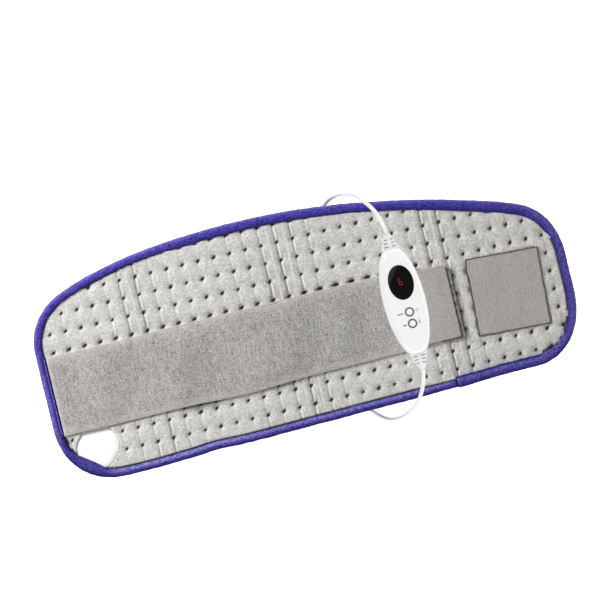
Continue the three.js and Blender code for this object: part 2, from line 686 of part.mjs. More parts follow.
// Cord inlet: a cover that shows in the quilt's window, over a cup that hangs below the belt
const INLET_SEAT = CARRIER_BOTTOM + GAP;
const INLET_SHOULDER = COVER_BOTTOM - 2 * GAP;
const INLET_SPLIT = INLET_SHOULDER - INLET_COVER_THICKNESS;
const INLET_RELIEF_Z = INLET_TABLE_GAP + INLET_RELIEF_HALF[1] + GAP;
const INLET_SIDE = INLET_X + INLET_BASE_RADIUS;
const BELOW = ARCH_RISE;
const INLET_NECK = INLET_RELIEF_HALF.map((half) => half * 0.6);
const tableUpTo = (height) => block([INLET_X, INLET_Y], [BELOW * 4, BELOW * 4, BELOW], height - BELOW);
const inletCavity = cut(
  atInlet(post([0, 0], INLET_BASE_RADIUS - INLET_WALL, -BELOW, BELOW, 24)),
  tableUpTo(INLET_TABLE_GAP + INLET_WALL),
);

add(belt, 'inlet_cover', join(
  atInlet(post([0, 0], INLET_RIM, INLET_SPLIT, INLET_SHOULDER, 24)),
  atInlet(post([0, 0], WINDOW_RADIUS - GAP, INLET_SPLIT, COVER_RIM - GAP, 24)),
), WHITE_SOFT);
add(belt, 'inlet_base', cut(
  join(
    atInlet(post([0, 0], INLET_RIM, INLET_SEAT, INLET_SPLIT - GAP, 24)),
    atInlet(post([0, 0], INLET_BASE_RADIUS, -BELOW / 2, INLET_SPLIT - GAP, 24)),
  ),
  tableUpTo(INLET_TABLE_GAP),
  inletCavity,
  new THREE.BoxGeometry(BELOW, 2 * (INLET_NECK[0] + GAP), 2 * (INLET_NECK[1] + GAP))
    .translate(INLET_SIDE, INLET_Y, INLET_RELIEF_Z),
), WHITE_SOFT);
add(belt, 'inlet_terminal_block', block(
  [INLET_X, INLET_Y],
  INLET_BLOCK,
  INLET_TABLE_GAP + INLET_WALL + GAP,
), BLACK_PART);
add(belt, 'inlet_relief', taper([
  [INLET_SIDE - INLET_WALL * 2 - GAP * 2, INLET_NECK],
  [INLET_SIDE + GAP * 2, INLET_NECK],
  [INLET_SIDE + GAP * 2, INLET_RELIEF_HALF],
  [INLET_SIDE + INLET_RELIEF_LENGTH, [CORD_RADIUS + 0.6, CORD_RADIUS + 0.4]],
], (x) => new THREE.Vector3(x, INLET_Y, INLET_RELIEF_Z), AXIS_Y), WHITE_SOFT);

// A tapered piece: sections along a line, level ones across it
function taper(sections, pointAt, across) {
  return loft(sections.map(([along, half]) => oblong(pointAt(along), across, AXIS_Z, half, 12)));
}

// Handset shells, in the handset's own frame: u across, v along, z up from its underside
const SHELL_SEAT = crestAt(HANDSET_X) + STRAP_THICKNESS + 2 * GAP + GAP / 2;
handset.position.set(HANDSET_X, HANDSET_Y, SHELL_SEAT);
handset.rotation.set(0, -Math.atan(slopeOfArch(HANDSET_X)), THREE.MathUtils.degToRad(HANDSET_YAW));

function shellRing([inset, z]) {
  const halfWidth = SHELL_HALF_WIDTH - inset;
  const halfLength = SHELL_HALF_LENGTH - inset;
  const limit = Math.asin((SHELL_END - inset) / halfLength);
  const side = Array.from({ length: SHELL_SIDE_POINTS }, (_, i) => {
    const angle = limit * ((2 * i) / (SHELL_SIDE_POINTS - 1) - 1);
    return [halfWidth * Math.cos(angle), halfLength * Math.sin(angle)];
  });
  const right = side.map(([u, v]) => new THREE.Vector3(u, v, z));
  const left = side.map(([u, v]) => new THREE.Vector3(-u, -v, z));
  return [...right, ...left];
}

const ROOF = SHELL_HEIGHT - SHELL_WALL;
const ABOVE = SHELL_HEIGHT * 2; // where a cut through the roof ends
const WINDOW_AT = [WINDOW_U, WINDOW_V];
// The top shell's profile, as parts of its round and of its height
const TOP_CURVE = [[0, 0], [0.1, 0.4], [0.32, 0.72], [0.64, 0.92], [1, 1]];
const topOuter = loft(TOP_CURVE.map(([round, rise]) => shellRing([
  round * TOP_ROUND,
  THREE.MathUtils.lerp(SHELL_SPLIT + GAP / 2, SHELL_HEIGHT, rise),
])));
const topInner = loft(TOP_CURVE.map(([round, rise]) => shellRing([
  round * TOP_ROUND + SHELL_WALL,
  THREE.MathUtils.lerp(SHELL_SPLIT - GAP, ROOF, rise),
])));
const baseOuter = loft([
  [BASE_ROUND, 0],
  [BASE_ROUND * 0.25, SHELL_SPLIT * 0.3],
  [0, SHELL_SPLIT - GAP / 2],
].map(shellRing));
const baseInner = loft([
  [BASE_ROUND + SHELL_WALL, SHELL_WALL],
  [BASE_ROUND * 0.25 + SHELL_WALL, SHELL_SPLIT * 0.3 + SHELL_WALL],
  [SHELL_WALL, SHELL_SPLIT + GAP],
].map(shellRing));

const SCREWS = [['handset_screw_front', SCREW_V], ['handset_screw_back', -SCREW_V]];
const BUTTONS = [['power', BUTTON_V[0]], ['mode', BUTTON_V[1]]];
const slots = [1, -1].map((side) => block(
  [0, side * SHELL_END],
  [2 * SLOT_HALF[0], SHELL_WALL * 5, 2 * SLOT_HALF[1]],
  SHELL_SPLIT - SLOT_HALF[1],
));
const BUTTON_HOLE = BUTTON_RADIUS + GAP;
const RING_OUTER = BUTTON_HOLE + RING_WIDTH;
const RING_SEAT = SHELL_HEIGHT + RING_PROUD - RING_THICKNESS;
const SCREW_BORE = SCREW_SHANK + GAP;

add(handset, 'handset_top_shell', cut(
  join(
    cut(topOuter, topInner),
    ...SCREWS.map(([, v]) => post([0, v], SCREW_BOSS - 1, SHELL_SPLIT + GAP / 2, ROOF + SHELL_WALL / 2, 12)),
  ),
  post(WINDOW_AT, WINDOW_OVAL[0] + GAP, ROOF - SHELL_WALL, ABOVE, 28, WINDOW_OVAL[1] + GAP),
  ...BUTTONS.map(([, v]) => post([BUTTON_U, v], BUTTON_HOLE, ROOF - SHELL_WALL, ABOVE)),
  ...BUTTONS.map(([, v]) => post([BUTTON_U, v], RING_OUTER + GAP, RING_SEAT - GAP, ABOVE, 20)),
  ...SCREWS.map(([, v]) => post([0, v], SCREW_BORE, 0, SCREW_LENGTH + SCREW_HEAD[1] + 2, 12)),
  ...slots,
), WHITE_SHELL);
add(handset, 'handset_base_shell', cut(
  join(
    cut(baseOuter, baseInner),
    ...SCREWS.map(([, v]) => post([0, v], SCREW_BOSS, SHELL_WALL / 2, SHELL_SPLIT - GAP / 2, 12)),
    ...[1, -1].flatMap((right) => [1, -1].map((far) => post(
      [right * BOARD_POSTS[0], far * BOARD_POSTS[1]],
      BOARD_POST_RADIUS,
      SHELL_WALL / 2,
      BOARD_UNDERSIDE - GAP,
      10,
    ))),
  ),
  ...SCREWS.map(([, v]) => post([0, v], SCREW_BORE, -1, SHELL_HEIGHT, 12)),
  ...SCREWS.map(([, v]) => post([0, v], SCREW_HEAD[0] + GAP, -1, SCREW_HEAD[1] + 2 * GAP, 16)),
  ...slots,
), WHITE_SHELL);
SCREWS.forEach(([name, v]) => add(handset, name, join(
  post([0, v], SCREW_HEAD[0], GAP, GAP + SCREW_HEAD[1], 14),
  post([0, v], SCREW_SHANK, GAP, GAP + SCREW_HEAD[1] + SCREW_LENGTH, 10),
), STEEL));

// Strain reliefs, clamped between the shells
[['mains_relief', 1], ['pad_relief', -1]].forEach(([name, side]) => {
  const inside = SHELL_END - SHELL_WALL * 1.5 - GAP;
  const outside = SHELL_END + GAP;
  const neck = SLOT_HALF.map((half) => half - GAP);
  const flange = RELIEF_FLANGE.slice(0, 2);
  const body = [0, 0.3, 0.65, 1].map((t) => [
    outside + t * RELIEF_LENGTH,
    RELIEF_ROOT.map((root, i) => THREE.MathUtils.lerp(root, RELIEF_TIP[i], t ** 0.85)),
  ]);
  const root = [[inside - RELIEF_FLANGE[2], flange], [inside, flange], [inside, neck], [outside, neck]];
  const axis = (v) => new THREE.Vector3(0, side * v, SHELL_SPLIT);
  add(handset, name, taper([...root, ...body], axis, AXIS_X), WHITE_SOFT);
});

// Display window with a rim under the shell, and the digit behind it
const PLATE_TOP = ROOF - GAP;
const PLATE_BOTTOM = PLATE_TOP - PLATE_THICKNESS;
add(handset, 'display_window', join(
  post(WINDOW_AT, WINDOW_OVAL[0] + WINDOW_RIM, PLATE_BOTTOM, PLATE_TOP, 28, WINDOW_OVAL[1] + WINDOW_RIM),
  post(WINDOW_AT, WINDOW_OVAL[0], PLATE_BOTTOM, SHELL_HEIGHT + WINDOW_PROUD, 28, WINDOW_OVAL[1]),
), BLACK_LENS);

// Board on its four posts, with the parts that drive the element
const boardRing = (z) => shellRing([BOARD_EDGE, z]);
add(handset, 'circuit_board', common(
  loft([boardRing(BOARD_UNDERSIDE), boardRing(BOARD_UNDERSIDE + BOARD_THICKNESS)]),
  block([0, 0], [SHELL_HEIGHT * 4, BOARD_END * 2, SHELL_HEIGHT], 0),
), BOARD_GREEN);
const ON_BOARD = BOARD_UNDERSIDE + BOARD_THICKNESS + GAP;
add(handset, 'display_module', block(WINDOW_AT, DIGIT_MODULE, ON_BOARD), [0xe2e0dc, 0.5]);
add(handset, 'triac', block(TRIAC_AT, TRIAC, ON_BOARD), BLACK_PART);
add(handset, 'film_capacitor', block(CAPACITOR_AT, CAPACITOR, ON_BOARD), [0xd8b23a, 0.5]);
add(handset, 'board_fuse', new THREE.CylinderGeometry(FUSE_RADIUS, FUSE_RADIUS, FUSE_LENGTH, 12)
  .translate(FUSE_AT[0], FUSE_AT[1], ON_BOARD + FUSE_RADIUS), [0xd9d4c8, 0.3]);
add(handset, 'mains_terminal', block([TERMINAL_U, TERMINAL_V], TERMINAL, ON_BOARD), [0x2f6b4f, 0.5]);
add(handset, 'pad_terminal', block([TERMINAL_U, -TERMINAL_V], TERMINAL, ON_BOARD), [0x2f6b4f, 0.5]);

// Two buttons in their rings, each over its own switch
const PLUNGER_TOP = ON_BOARD + SWITCH_BODY[2] + SWITCH_PLUNGER;
BUTTONS.forEach(([name, v]) => {
  const at = [BUTTON_U, v];
  add(handset, `${name}_button_ring`, cut(
    post(at, RING_OUTER, RING_SEAT, RING_SEAT + RING_THICKNESS, 20),
    post(at, BUTTON_HOLE, 0, ABOVE, 16),
  ), GREY_RING);
  add(handset, `${name}_button`, join(
    post(at, BUTTON_RADIUS, PLATE_BOTTOM, SHELL_HEIGHT + BUTTON_PROUD, 16),
    post(at, BUTTON_RADIUS + BUTTON_FLANGE, PLATE_BOTTOM, PLATE_TOP, 16),
    post(at, BUTTON_STEM, PLUNGER_TOP + BUTTON_TRAVEL + 0.1, PLATE_TOP, 10),
  ), WHITE_SHELL);
  add(handset, `${name}_switch`, join(
    block(at, SWITCH_BODY, ON_BOARD),
    post(at, SWITCH_PLUNGER, ON_BOARD, PLUNGER_TOP, 10),
  ), BLACK_PART);
});

// Pad lead: from the handset's lower end, over the belt's edge and back under it to the inlet
add(cords, 'pad_lead', cordThrough([
  [129.1, -95.2, 43.4],
  [129, -100.4, 43.2],
  [127.4, -108.5, 40.8],
  [124.6, -116.8, 37],
  [120.8, -124.8, 34.2],
  [116, -132.5, 30],
  [108.7, -140, 24.5],
  [99.9, -145.8, 18.5],
  [89.9, -149.4, 12.5],
  [79, -149.6, 7.5],
  [70.1, -146.2, 4.4],
  [62.5, -140.2, 3],
  [54, -131.5, 2.7],
  [42, -121, 2.7],
  [26, -111.5, 2.7],
  [5, -105, 2.7],
  [-25, -101.5, 2.7],
  [-60, -100, 2.7],
  [-100, -99.3, 2.7],
  [-140, -98.8, 2.7],
  [-180, -98.1, 2.7],
  [-213, -97, 2.9],
  [-228, -96.6, 3.5],
  [-237, -96.5, 3.8],
  [-242.2, -96.5, 3.8],
]), WHITE_SOFT);

// Mains lead: from the upper end, over the edge and under the belt to the coil
add(cords, 'mains_lead', cordThrough([
  [124.9, 78, 43.7],
  [124.7, 83.2, 43.5],
  [122.9, 92, 41],
  [120.2, 102, 37.6],
  [116.6, 110.5, 35.6],
  [112, 118, 34.8],
  [106, 125.3, 34.2],
  [99.4, 132.5, 32.2],
  [92.4, 137.2, 28],
  [85, 139.4, 23],
  [75, 139.7, 16],
  [65.8, 137.1, 10.6],
  [58.2, 131.9, 7],
  [47, 123, 4.2],
  [33, 112.5, 2.8],
  [14, 100.8, 2.7],
  [-6, 88.8, 2.9],
  [-24, 77, 3.5],
  [-37.2, 65.5, 3.9],
  [-41, 61.6, 3.9],
]), WHITE_SOFT);

// Spare mains cord, wound in two layers: in on the lower one and out on the upper one
const COIL_OUTER_RADIUS = COIL_INNER_RADIUS + COIL_LOOPS * COIL_PITCH;
const COIL_Z = TIE_THICKNESS + 2 * GAP + CORD_RADIUS;

function coilPoint(loops) {
  const inside = loops - COIL_LOOPS;
  const radius = inside < 0.25
    ? COIL_OUTER_RADIUS - COIL_PITCH * loops
    : COIL_INNER_RADIUS + COIL_PITCH * (inside - 0.5);
  const angle = THREE.MathUtils.degToRad(COIL_START_ANGLE) + loops * 2 * Math.PI;
  return new THREE.Vector3(
    COIL_CENTRE[0] + radius * Math.cos(angle),
    COIL_CENTRE[1] + radius * Math.sin(angle),
    COIL_Z + COIL_PITCH * ease(inside / 0.5),
  );
}

function coilRoute() {
  const steps = (2 * COIL_LOOPS + 0.5) * COIL_STEPS;
  const wound = Array.from({ length: steps + 1 }, (_, i) => coilPoint(i / COIL_STEPS));
  const straightOn = (from, to) => to.clone().sub(from).setLength(CORD_DIAMETER).add(to);
  return [straightOn(wound[1], wound[0]), ...wound, straightOn(wound.at(-2), wound.at(-1))];
}

const coilPoints = coilRoute();
add(cords, 'mains_coil', tubeThrough(coilPoints, CORD_RADIUS, COIL_SIDES), WHITE_SOFT);

// The least gap between two stretches of the coil that aren't neighbours
function leastGap(points) {
  let least = Infinity;
  points.forEach((a, i) => points.slice(i + COIL_STEPS / 2).forEach((b) => {
    least = Math.min(least, a.distanceTo(b) - CORD_DIAMETER);
  }));
  return least;
}
console.log('least gap between the turns of the coil, mm:', leastGap(coilPoints).toFixed(2));

add(cords, 'mains_tail', cordThrough([
  [9.4, -5.3, 9.5],
  [13.9, -2.9, 9.5],
  [28, 5.5, 8.4],
  [42, 15.5, 7.2],
  [56, 23.2, 6.8],
  [66.5, 26.7, 7],
  [73.7, 27, 7],
]), WHITE_SOFT);

// A strip ties the coil: a flat ring round both layers
const TIE_INNER = COIL_INNER_RADIUS - COIL_PITCH / 4 - CORD_RADIUS - TIE_SLACK;
const TIE_OUTER = COIL_OUTER_RADIUS + CORD_RADIUS + TIE_SLACK;
const TIE_TOP = COIL_Z + COIL_PITCH + CORD_RADIUS + GAP;
const tieBlock = (grow) => block(
  [(TIE_INNER + TIE_OUTER) / 2, 0],
  [TIE_OUTER - TIE_INNER + 2 * grow, TIE_WIDTH + grow, TIE_TOP - TIE_THICKNESS - GAP + 2 * grow],
  TIE_THICKNESS + GAP - grow,
);
add(cords, 'coil_tie', cut(
  common(tieBlock(TIE_THICKNESS), block([0, 0], [TIE_OUTER * 4, TIE_WIDTH, TIE_TOP * 4], -TIE_TOP)),
  tieBlock(0),
).rotateZ(THREE.MathUtils.degToRad(TIE_ANGLE)).translate(...COIL_CENTRE, 0), [0x2a2a2c, 0.6]);

// Plug: relief, moulded body and two pins, flat on the table
const PLUG_BACK = PLUG_ENTRY[0] + PLUG_RELIEF_LENGTH;
const PLUG_FACE = PLUG_BACK + GAP + PLUG_LENGTH;
const PLUG_Z = PLUG_HALF_HEIGHT + 0.1;
const plugAxis = (x) => new THREE.Vector3(x, PLUG_ENTRY[1], PLUG_Z);
add(cords, 'plug_relief', taper([
  [PLUG_ENTRY[0], [CORD_RADIUS + 0.8, CORD_RADIUS + 0.8]],
  [PLUG_BACK, [PLUG_NECK[0] * 0.7, PLUG_NECK[1] * 0.85]],
], plugAxis, AXIS_Y), WHITE_SOFT);
const PIN_Y = [['plug_pin_left', PIN_SPACING / 2], ['plug_pin_right', -PIN_SPACING / 2]];
const pin = (offset, radius, from, to) => new THREE.CylinderGeometry(radius, radius, to - from, 12)
  .rotateZ(Math.PI / 2)
  .translate((from + to) / 2, PLUG_ENTRY[1] + offset, PLUG_Z);
add(cords, 'plug_body', cut(
  taper([
    [PLUG_BACK + GAP, PLUG_NECK],
    [PLUG_BACK + PLUG_LENGTH * 0.25, [PLUG_HALF_WIDTH * 0.8, PLUG_HALF_HEIGHT]],
    [PLUG_BACK + PLUG_LENGTH * 0.5, [PLUG_HALF_WIDTH, PLUG_HALF_HEIGHT]],
    [PLUG_FACE, [PLUG_HALF_WIDTH, PLUG_HALF_HEIGHT]],
  ], plugAxis, AXIS_Y),
  ...PIN_Y.map(([, offset]) => pin(offset, PIN_RADIUS + GAP, PLUG_FACE - PIN_SEAT - GAP, PLUG_FACE + 1)),
), WHITE_SOFT);
PIN_Y.forEach(([name, offset]) => {
  add(cords, name, pin(offset, PIN_RADIUS, PLUG_FACE - PIN_SEAT, PLUG_FACE + PIN_LENGTH), STEEL);
});

export default part;
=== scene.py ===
# The looks of a quilted heating belt with an in-line hand controller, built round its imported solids.
# Metres, +Z up, +X along the belt towards its loop patch, and the table at z = 0.
import json
import math
import random

import bmesh
import bpy
import numpy as np
from mathutils import Matrix, Vector, geometry, kdtree, noise

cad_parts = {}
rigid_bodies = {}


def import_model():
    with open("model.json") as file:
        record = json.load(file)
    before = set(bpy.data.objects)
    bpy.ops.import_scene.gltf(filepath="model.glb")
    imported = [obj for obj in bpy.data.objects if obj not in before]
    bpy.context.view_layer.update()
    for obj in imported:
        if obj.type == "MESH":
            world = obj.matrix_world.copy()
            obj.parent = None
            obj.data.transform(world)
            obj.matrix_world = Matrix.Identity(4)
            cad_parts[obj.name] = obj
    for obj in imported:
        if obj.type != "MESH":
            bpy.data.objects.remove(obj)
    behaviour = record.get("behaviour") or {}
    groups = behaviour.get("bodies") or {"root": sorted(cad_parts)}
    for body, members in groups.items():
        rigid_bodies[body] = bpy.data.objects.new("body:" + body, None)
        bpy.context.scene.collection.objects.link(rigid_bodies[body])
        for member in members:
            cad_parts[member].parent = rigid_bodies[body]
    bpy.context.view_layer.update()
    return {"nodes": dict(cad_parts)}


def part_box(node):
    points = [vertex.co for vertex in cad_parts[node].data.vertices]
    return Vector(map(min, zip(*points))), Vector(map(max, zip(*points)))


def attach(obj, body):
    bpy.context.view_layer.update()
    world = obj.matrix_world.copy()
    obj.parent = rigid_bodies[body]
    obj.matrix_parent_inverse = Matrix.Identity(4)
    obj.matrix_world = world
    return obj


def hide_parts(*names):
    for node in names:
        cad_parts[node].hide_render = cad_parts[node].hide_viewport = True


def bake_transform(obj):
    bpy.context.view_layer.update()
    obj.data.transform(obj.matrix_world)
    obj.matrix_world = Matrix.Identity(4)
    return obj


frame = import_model()
nodes = frame["nodes"]

# Back cover: one panel of brushed fleece under the whole belt, cut to the belt's outline.
# It is laid down first, with a round hole for the cup of the cord inlet.
# Its edge is caught in the binding later.
BACK_COVER_THICKNESS = 0.0012
BACK_COVER_HEIGHT = 0.0018
ARCH_HEIGHT = 0.024
ARCH_HALF_LENGTH = 0.3235
INLET = Vector((-0.2865, -0.0965))
INLET_CUP_HOLE = 0.0206
SPOT_PITCH = (0.02025, 0.023)
FIRST_SPOT = (-0.1515, 0.1005)
GRID_STEP = (SPOT_PITCH[0] / 3, SPOT_PITCH[1] / 3)
CLOTH_ROOM = (0.7, 0.3)


def arch(x):
    """Height of the belt's underside over the table: the belt lies in a low arch."""
    return ARCH_HEIGHT * max(0.0, 1 - (x / ARCH_HALF_LENGTH) ** 2) ** 1.25


def walked_along(line):
    """How far each point of a line is from its start, along the line."""
    return np.concatenate(([0], np.cumsum(np.linalg.norm(np.diff(line, axis=0), axis=1))))


def belt_outline(count):
    """Evenly spaced points round the belt's edge, counter-clockwise, as seen from above."""
    low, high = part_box("edge_binding")
    half_length = (high.x - low.x) / 2
    half_width = (high.y - low.y) / 2
    bottom_left = Vector((-half_length, -half_width))
    bottom_right = Vector((half_length, 0.015 - half_width))
    top_right = Vector((half_length, 0.06))
    top_left = Vector((-half_length, 0.082))
    crest = Vector((-0.0405, half_width))

    def towards(start, goal, distance):
        return start + (goal - start).normalized() * distance

    def corner_curve(start, corner, end):
        return start, start.lerp(corner, 0.6), end.lerp(corner, 0.6), end

    def straight(start, end):
        return start, start.lerp(end, 1 / 3), start.lerp(end, 2 / 3), end

    left_down = towards(bottom_left, top_left, 0.08)
    bottom_start = towards(bottom_left, bottom_right, 0.0755)
    bottom_end = towards(bottom_right, bottom_left, 0.066)
    right_start = towards(bottom_right, top_right, 0.0835)
    right_end = towards(top_right, bottom_right, 0.0545)
    top_start = towards(top_right, crest + Vector((0.177, 0)), 0.0465)
    top_end = towards(top_left, crest - Vector((0.167, 0)), 0.048)
    left_start = towards(top_left, bottom_left, 0.0435)
    rise_right = top_start + (top_start - top_right).normalized() * 0.094
    rise_left = top_end + (top_end - top_left).normalized() * 0.0865
    curves = [
        corner_curve(left_down, bottom_left, bottom_start),
        straight(bottom_start, bottom_end),
        corner_curve(bottom_end, bottom_right, right_start),
        straight(right_start, right_end),
        corner_curve(right_end, top_right, top_start),
        (top_start, rise_right, crest + Vector((0.097, 0)), crest),
        (crest, crest - Vector((0.068, 0)), rise_left, top_end),
        corner_curve(top_end, top_left, left_start),
        straight(left_start, left_down),
    ]
    points = []
    for curve in curves:
        points += geometry.interpolate_bezier(*curve, 60)[:-1]
    points.append(points[0])
    dense = np.array([(p[0], p[1]) for p in points])
    walked = walked_along(dense)
    places = np.linspace(0, walked[-1], count, endpoint=False)
    even = np.column_stack([np.interp(places, walked, dense[:, axis]) for axis in (0, 1)])
    middle = (even.max(0) + even.min(0)) / 2
    stretch = np.array((half_length, half_width)) * 2 / (even.max(0) - even.min(0))
    return (even - middle) * stretch


def moved_in(outline, distance):
    """The outline, moved inwards by a distance."""
    along = np.roll(outline, -1, 0) - np.roll(outline, 1, 0)
    along /= np.linalg.norm(along, axis=1)[:, None]
    return outline + distance * np.column_stack((-along[:, 1], along[:, 0]))


def cut_cloth(edge, spacing, hole_radius):
    """A flat grid of cloth, trimmed to a line round the belt and with a round hole at the inlet.
    A line of the grid passes through every weld spot of the quilt."""
    cloth = bmesh.new()
    steps = [math.ceil(room / step) for room, step in zip(CLOTH_ROOM, spacing)]
    bmesh.ops.create_grid(cloth, x_segments=steps[0], y_segments=steps[1], size=0.5)
    for axis, step in enumerate(spacing):
        first = math.floor((-CLOTH_ROOM[axis] / 2 - FIRST_SPOT[axis]) / step)
        corner = FIRST_SPOT[axis] + first * step
        for vert in cloth.verts:
            vert.co[axis] = corner + (vert.co[axis] + 0.5) * (steps[axis] * step)
    for here, after in zip(edge, np.roll(edge, -1, 0)):
        outwards = (after[1] - here[1], here[0] - after[0], 0)
        bmesh.ops.bisect_plane(
            cloth,
            geom=cloth.verts[:] + cloth.edges[:] + cloth.faces[:],
            dist=1e-6,
            plane_co=(here[0], here[1], 0),
            plane_no=outwards,
            clear_outer=True,
        )
    gone = [f for f in cloth.faces if (f.calc_center_median().xy - INLET).length < hole_radius]
    bmesh.ops.delete(cloth, geom=gone, context="FACES")
    for vert in cloth.verts:
        away = vert.co.xy - INLET
        if vert.is_boundary and away.length < hole_radius + max(spacing):
            vert.co.xy = INLET + away.normalized() * hole_radius
    return cloth


def put_in_scene(name, data):
    """A new object at the origin, made of some data."""
    made = bpy.data.objects.new(name, data)
    bpy.context.scene.collection.objects.link(made)
    return made


def smooth_shading(data, sharp=None):
    """Smooth shading, apart from edges that are sharper than an angle in degrees."""
    data.shade_smooth()
    if sharp:
        data.set_sharp_from_angle(angle=math.radians(sharp))


def data_of(name, mesh):
    """The mesh data of a bmesh, which is freed."""
    data = bpy.data.meshes.new(name)
    mesh.to_mesh(data)
    mesh.free()
    return data


def make_piece(name, mesh, material, body="belt", sharp=None):
    """A smooth piece at the origin, made of a bmesh, that rides on a body."""
    data = data_of(name, mesh)
    data.materials.append(material)
    smooth_shading(data, sharp)
    made = put_in_scene(name, data)
    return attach(made, body) if body else made


def declare(piece, slot, *solids):
    """Hides the solids that a piece replaces, if any; the piece and its material slot are not used."""
    if solids:
        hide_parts(*solids)


def thicken(piece, thickness, offset=1.0):
    """Gives a sheet its thickness, upwards from the sheet unless told otherwise."""
    wall = piece.modifiers.new("thickness", "SOLIDIFY")
    wall.thickness = thickness
    wall.offset = offset
    return piece


def add_node(tree, kind, inputs=None, **settings):
    """A node with its settings, and with its inputs linked or set."""
    made = tree.nodes.new(kind)
    for key, value in settings.items():
        setattr(made, key, value)
    for socket, value in (inputs or {}).items():
        if isinstance(value, bpy.types.NodeSocket):
            tree.links.new(value, made.inputs[socket])
        else:
            made.inputs[socket].default_value = value
    return made


def math_node(tree, operation, first, second=0.0):
    """The value of one sum, product or other operation."""
    return add_node(tree, "ShaderNodeMath", {0: first, 1: second}, operation=operation).outputs[0]


def spread_node(tree, value, low, high, to_low=0.0, to_high=1.0):
    """A value, mapped from one range to another and kept inside it."""
    made = add_node(tree, "ShaderNodeMapRange", {0: value, 1: low, 2: high, 3: to_low, 4: to_high})
    return made.outputs[0]


def mix_colours(tree, factor, first, second):
    """A colour between two others."""
    made = add_node(tree, "ShaderNodeMix", {0: factor, 6: first, 7: second}, data_type="RGBA")
    return made.outputs[2]


def noise_node(tree, place, scale, **inputs):
    """A noise texture over a place."""
    return add_node(tree, "ShaderNodeTexNoise", {"Vector": place, "Scale": scale, **inputs})


def group_with(name, inputs, outputs):
    """An empty shader node group with named values going in and coming out."""
    tree = bpy.data.node_groups.new(name, "ShaderNodeTree")
    for label, value in inputs.items():
        socket = tree.interface.new_socket(label, in_out="INPUT", socket_type="NodeSocketFloat")
        socket.default_value = value
    for label in outputs:
        tree.interface.new_socket(label, in_out="OUTPUT", socket_type="NodeSocketFloat")
    return tree, tree.nodes.new("NodeGroupInput"), tree.nodes.new("NodeGroupOutput")


def use_group(tree, group, **inputs):
    """A shader node group placed in a material, with its own values."""
    made = add_node(tree, "ShaderNodeGroup", node_tree=group)
    for label, value in inputs.items():
        made.inputs[label.replace("_", " ").capitalize()].default_value = value
    return made


def new_material(name, **sockets):
    """A material and its shader, whose plain values are set on its own sockets."""
    made = bpy.data.materials.new(name)
    made.use_nodes = True
    shader = made.node_tree.nodes["Principled BSDF"]
    for label, value in sockets.items():
        shader.inputs[label.replace("_", " ")].default_value = value
    return made, made.node_tree, shader


def two_tone(tree, grain, dark, light):
    """A colour between two others, given as 0 to 255, by the tone of a grain."""
    return mix_colours(tree, grain.outputs["Tone"], colour(*dark), colour(*light))


def give_surface(tree, shader, tone, grain, bump):
    """Gives a shader its colour, and lets the height of a grain shape its normal."""
    tree.links.new(tone, shader.inputs["Base Color"])
    inputs = {"Height": grain.outputs["Height"], "Distance": bump, "Strength": 1.0}
    shaped = add_node(tree, "ShaderNodeBump", inputs)
    tree.links.new(shaped.outputs["Normal"], shader.inputs["Normal"])


def colour(red, green, blue):
    """A shader colour from the values that a picture shows, 0 to 255."""
    return tuple(((c / 255 + 0.055) / 1.055) ** 2.4 for c in (red, green, blue)) + (1.0,)


# Brushed pile: short fibres in soft clumps, with broad uneven patches
pile, pile_in, pile_out = group_with("pile", {"Fibres": 900.0, "Patches": 45.0}, ["Tone", "Height"])
pile_place = add_node(pile, "ShaderNodeTexCoord").outputs["Object"]
pile_lean = add_node(pile, "ShaderNodeMapping", {"Vector": pile_place}, vector_type="TEXTURE")
pile_lean.inputs["Scale"].default_value = (1.0, 3.6, 1.0)
pile_lean.inputs["Rotation"].default_value = (0, 0, -1.1)
pile_fibres = noise_node(pile, pile_lean.outputs[0], pile_in.outputs["Fibres"], Detail=3.0, Roughness=0.65)
pile_patches = noise_node(pile, pile_place, pile_in.outputs["Patches"], Detail=2.0)
pile_tone = math_node(pile, "MULTIPLY", pile_fibres.outputs["Fac"], 0.93)
pile_broad = math_node(pile, "MULTIPLY", pile_patches.outputs["Fac"], 0.07)
pile_tone = math_node(pile, "ADD", pile_tone, pile_broad)
pile.links.new(spread_node(pile, pile_tone, 0.36, 0.64), pile_out.inputs["Tone"])
pile.links.new(pile_fibres.outputs["Fac"], pile_out.inputs["Height"])


def pile_material(name, light, dark, fibres, bump):
    """Brushed cloth of one colour, lighter on its fibre tips."""
    made, tree, shader = new_material(
        name, Roughness=0.95, Sheen_Weight=0.25, Sheen_Roughness=0.6, Specular_IOR_Level=0.15
    )
    fibre = use_group(tree, pile, fibres=fibres)
    give_surface(tree, shader, two_tone(tree, fibre, dark, light), fibre, bump)
    return made


back_fleece = pile_material("back_fleece", (206, 205, 200), (178, 177, 172), 900.0, 0.0006)
trim_edge = belt_outline(72)
back_edge = moved_in(trim_edge, 0.0048)
back = cut_cloth(back_edge, GRID_STEP, INLET_CUP_HOLE)
for vert in back.verts:
    sag = 0.0003 * noise.noise((vert.co.x * 22, vert.co.y * 22, 3.1))
    vert.co.z = arch(vert.co.x) + BACK_COVER_HEIGHT + 0.0003 + sag
back_panel = thicken(make_piece("back_cover_cloth", back, back_fleece), BACK_COVER_THICKNESS)


declare(back_panel, "fleece", "back_cover")

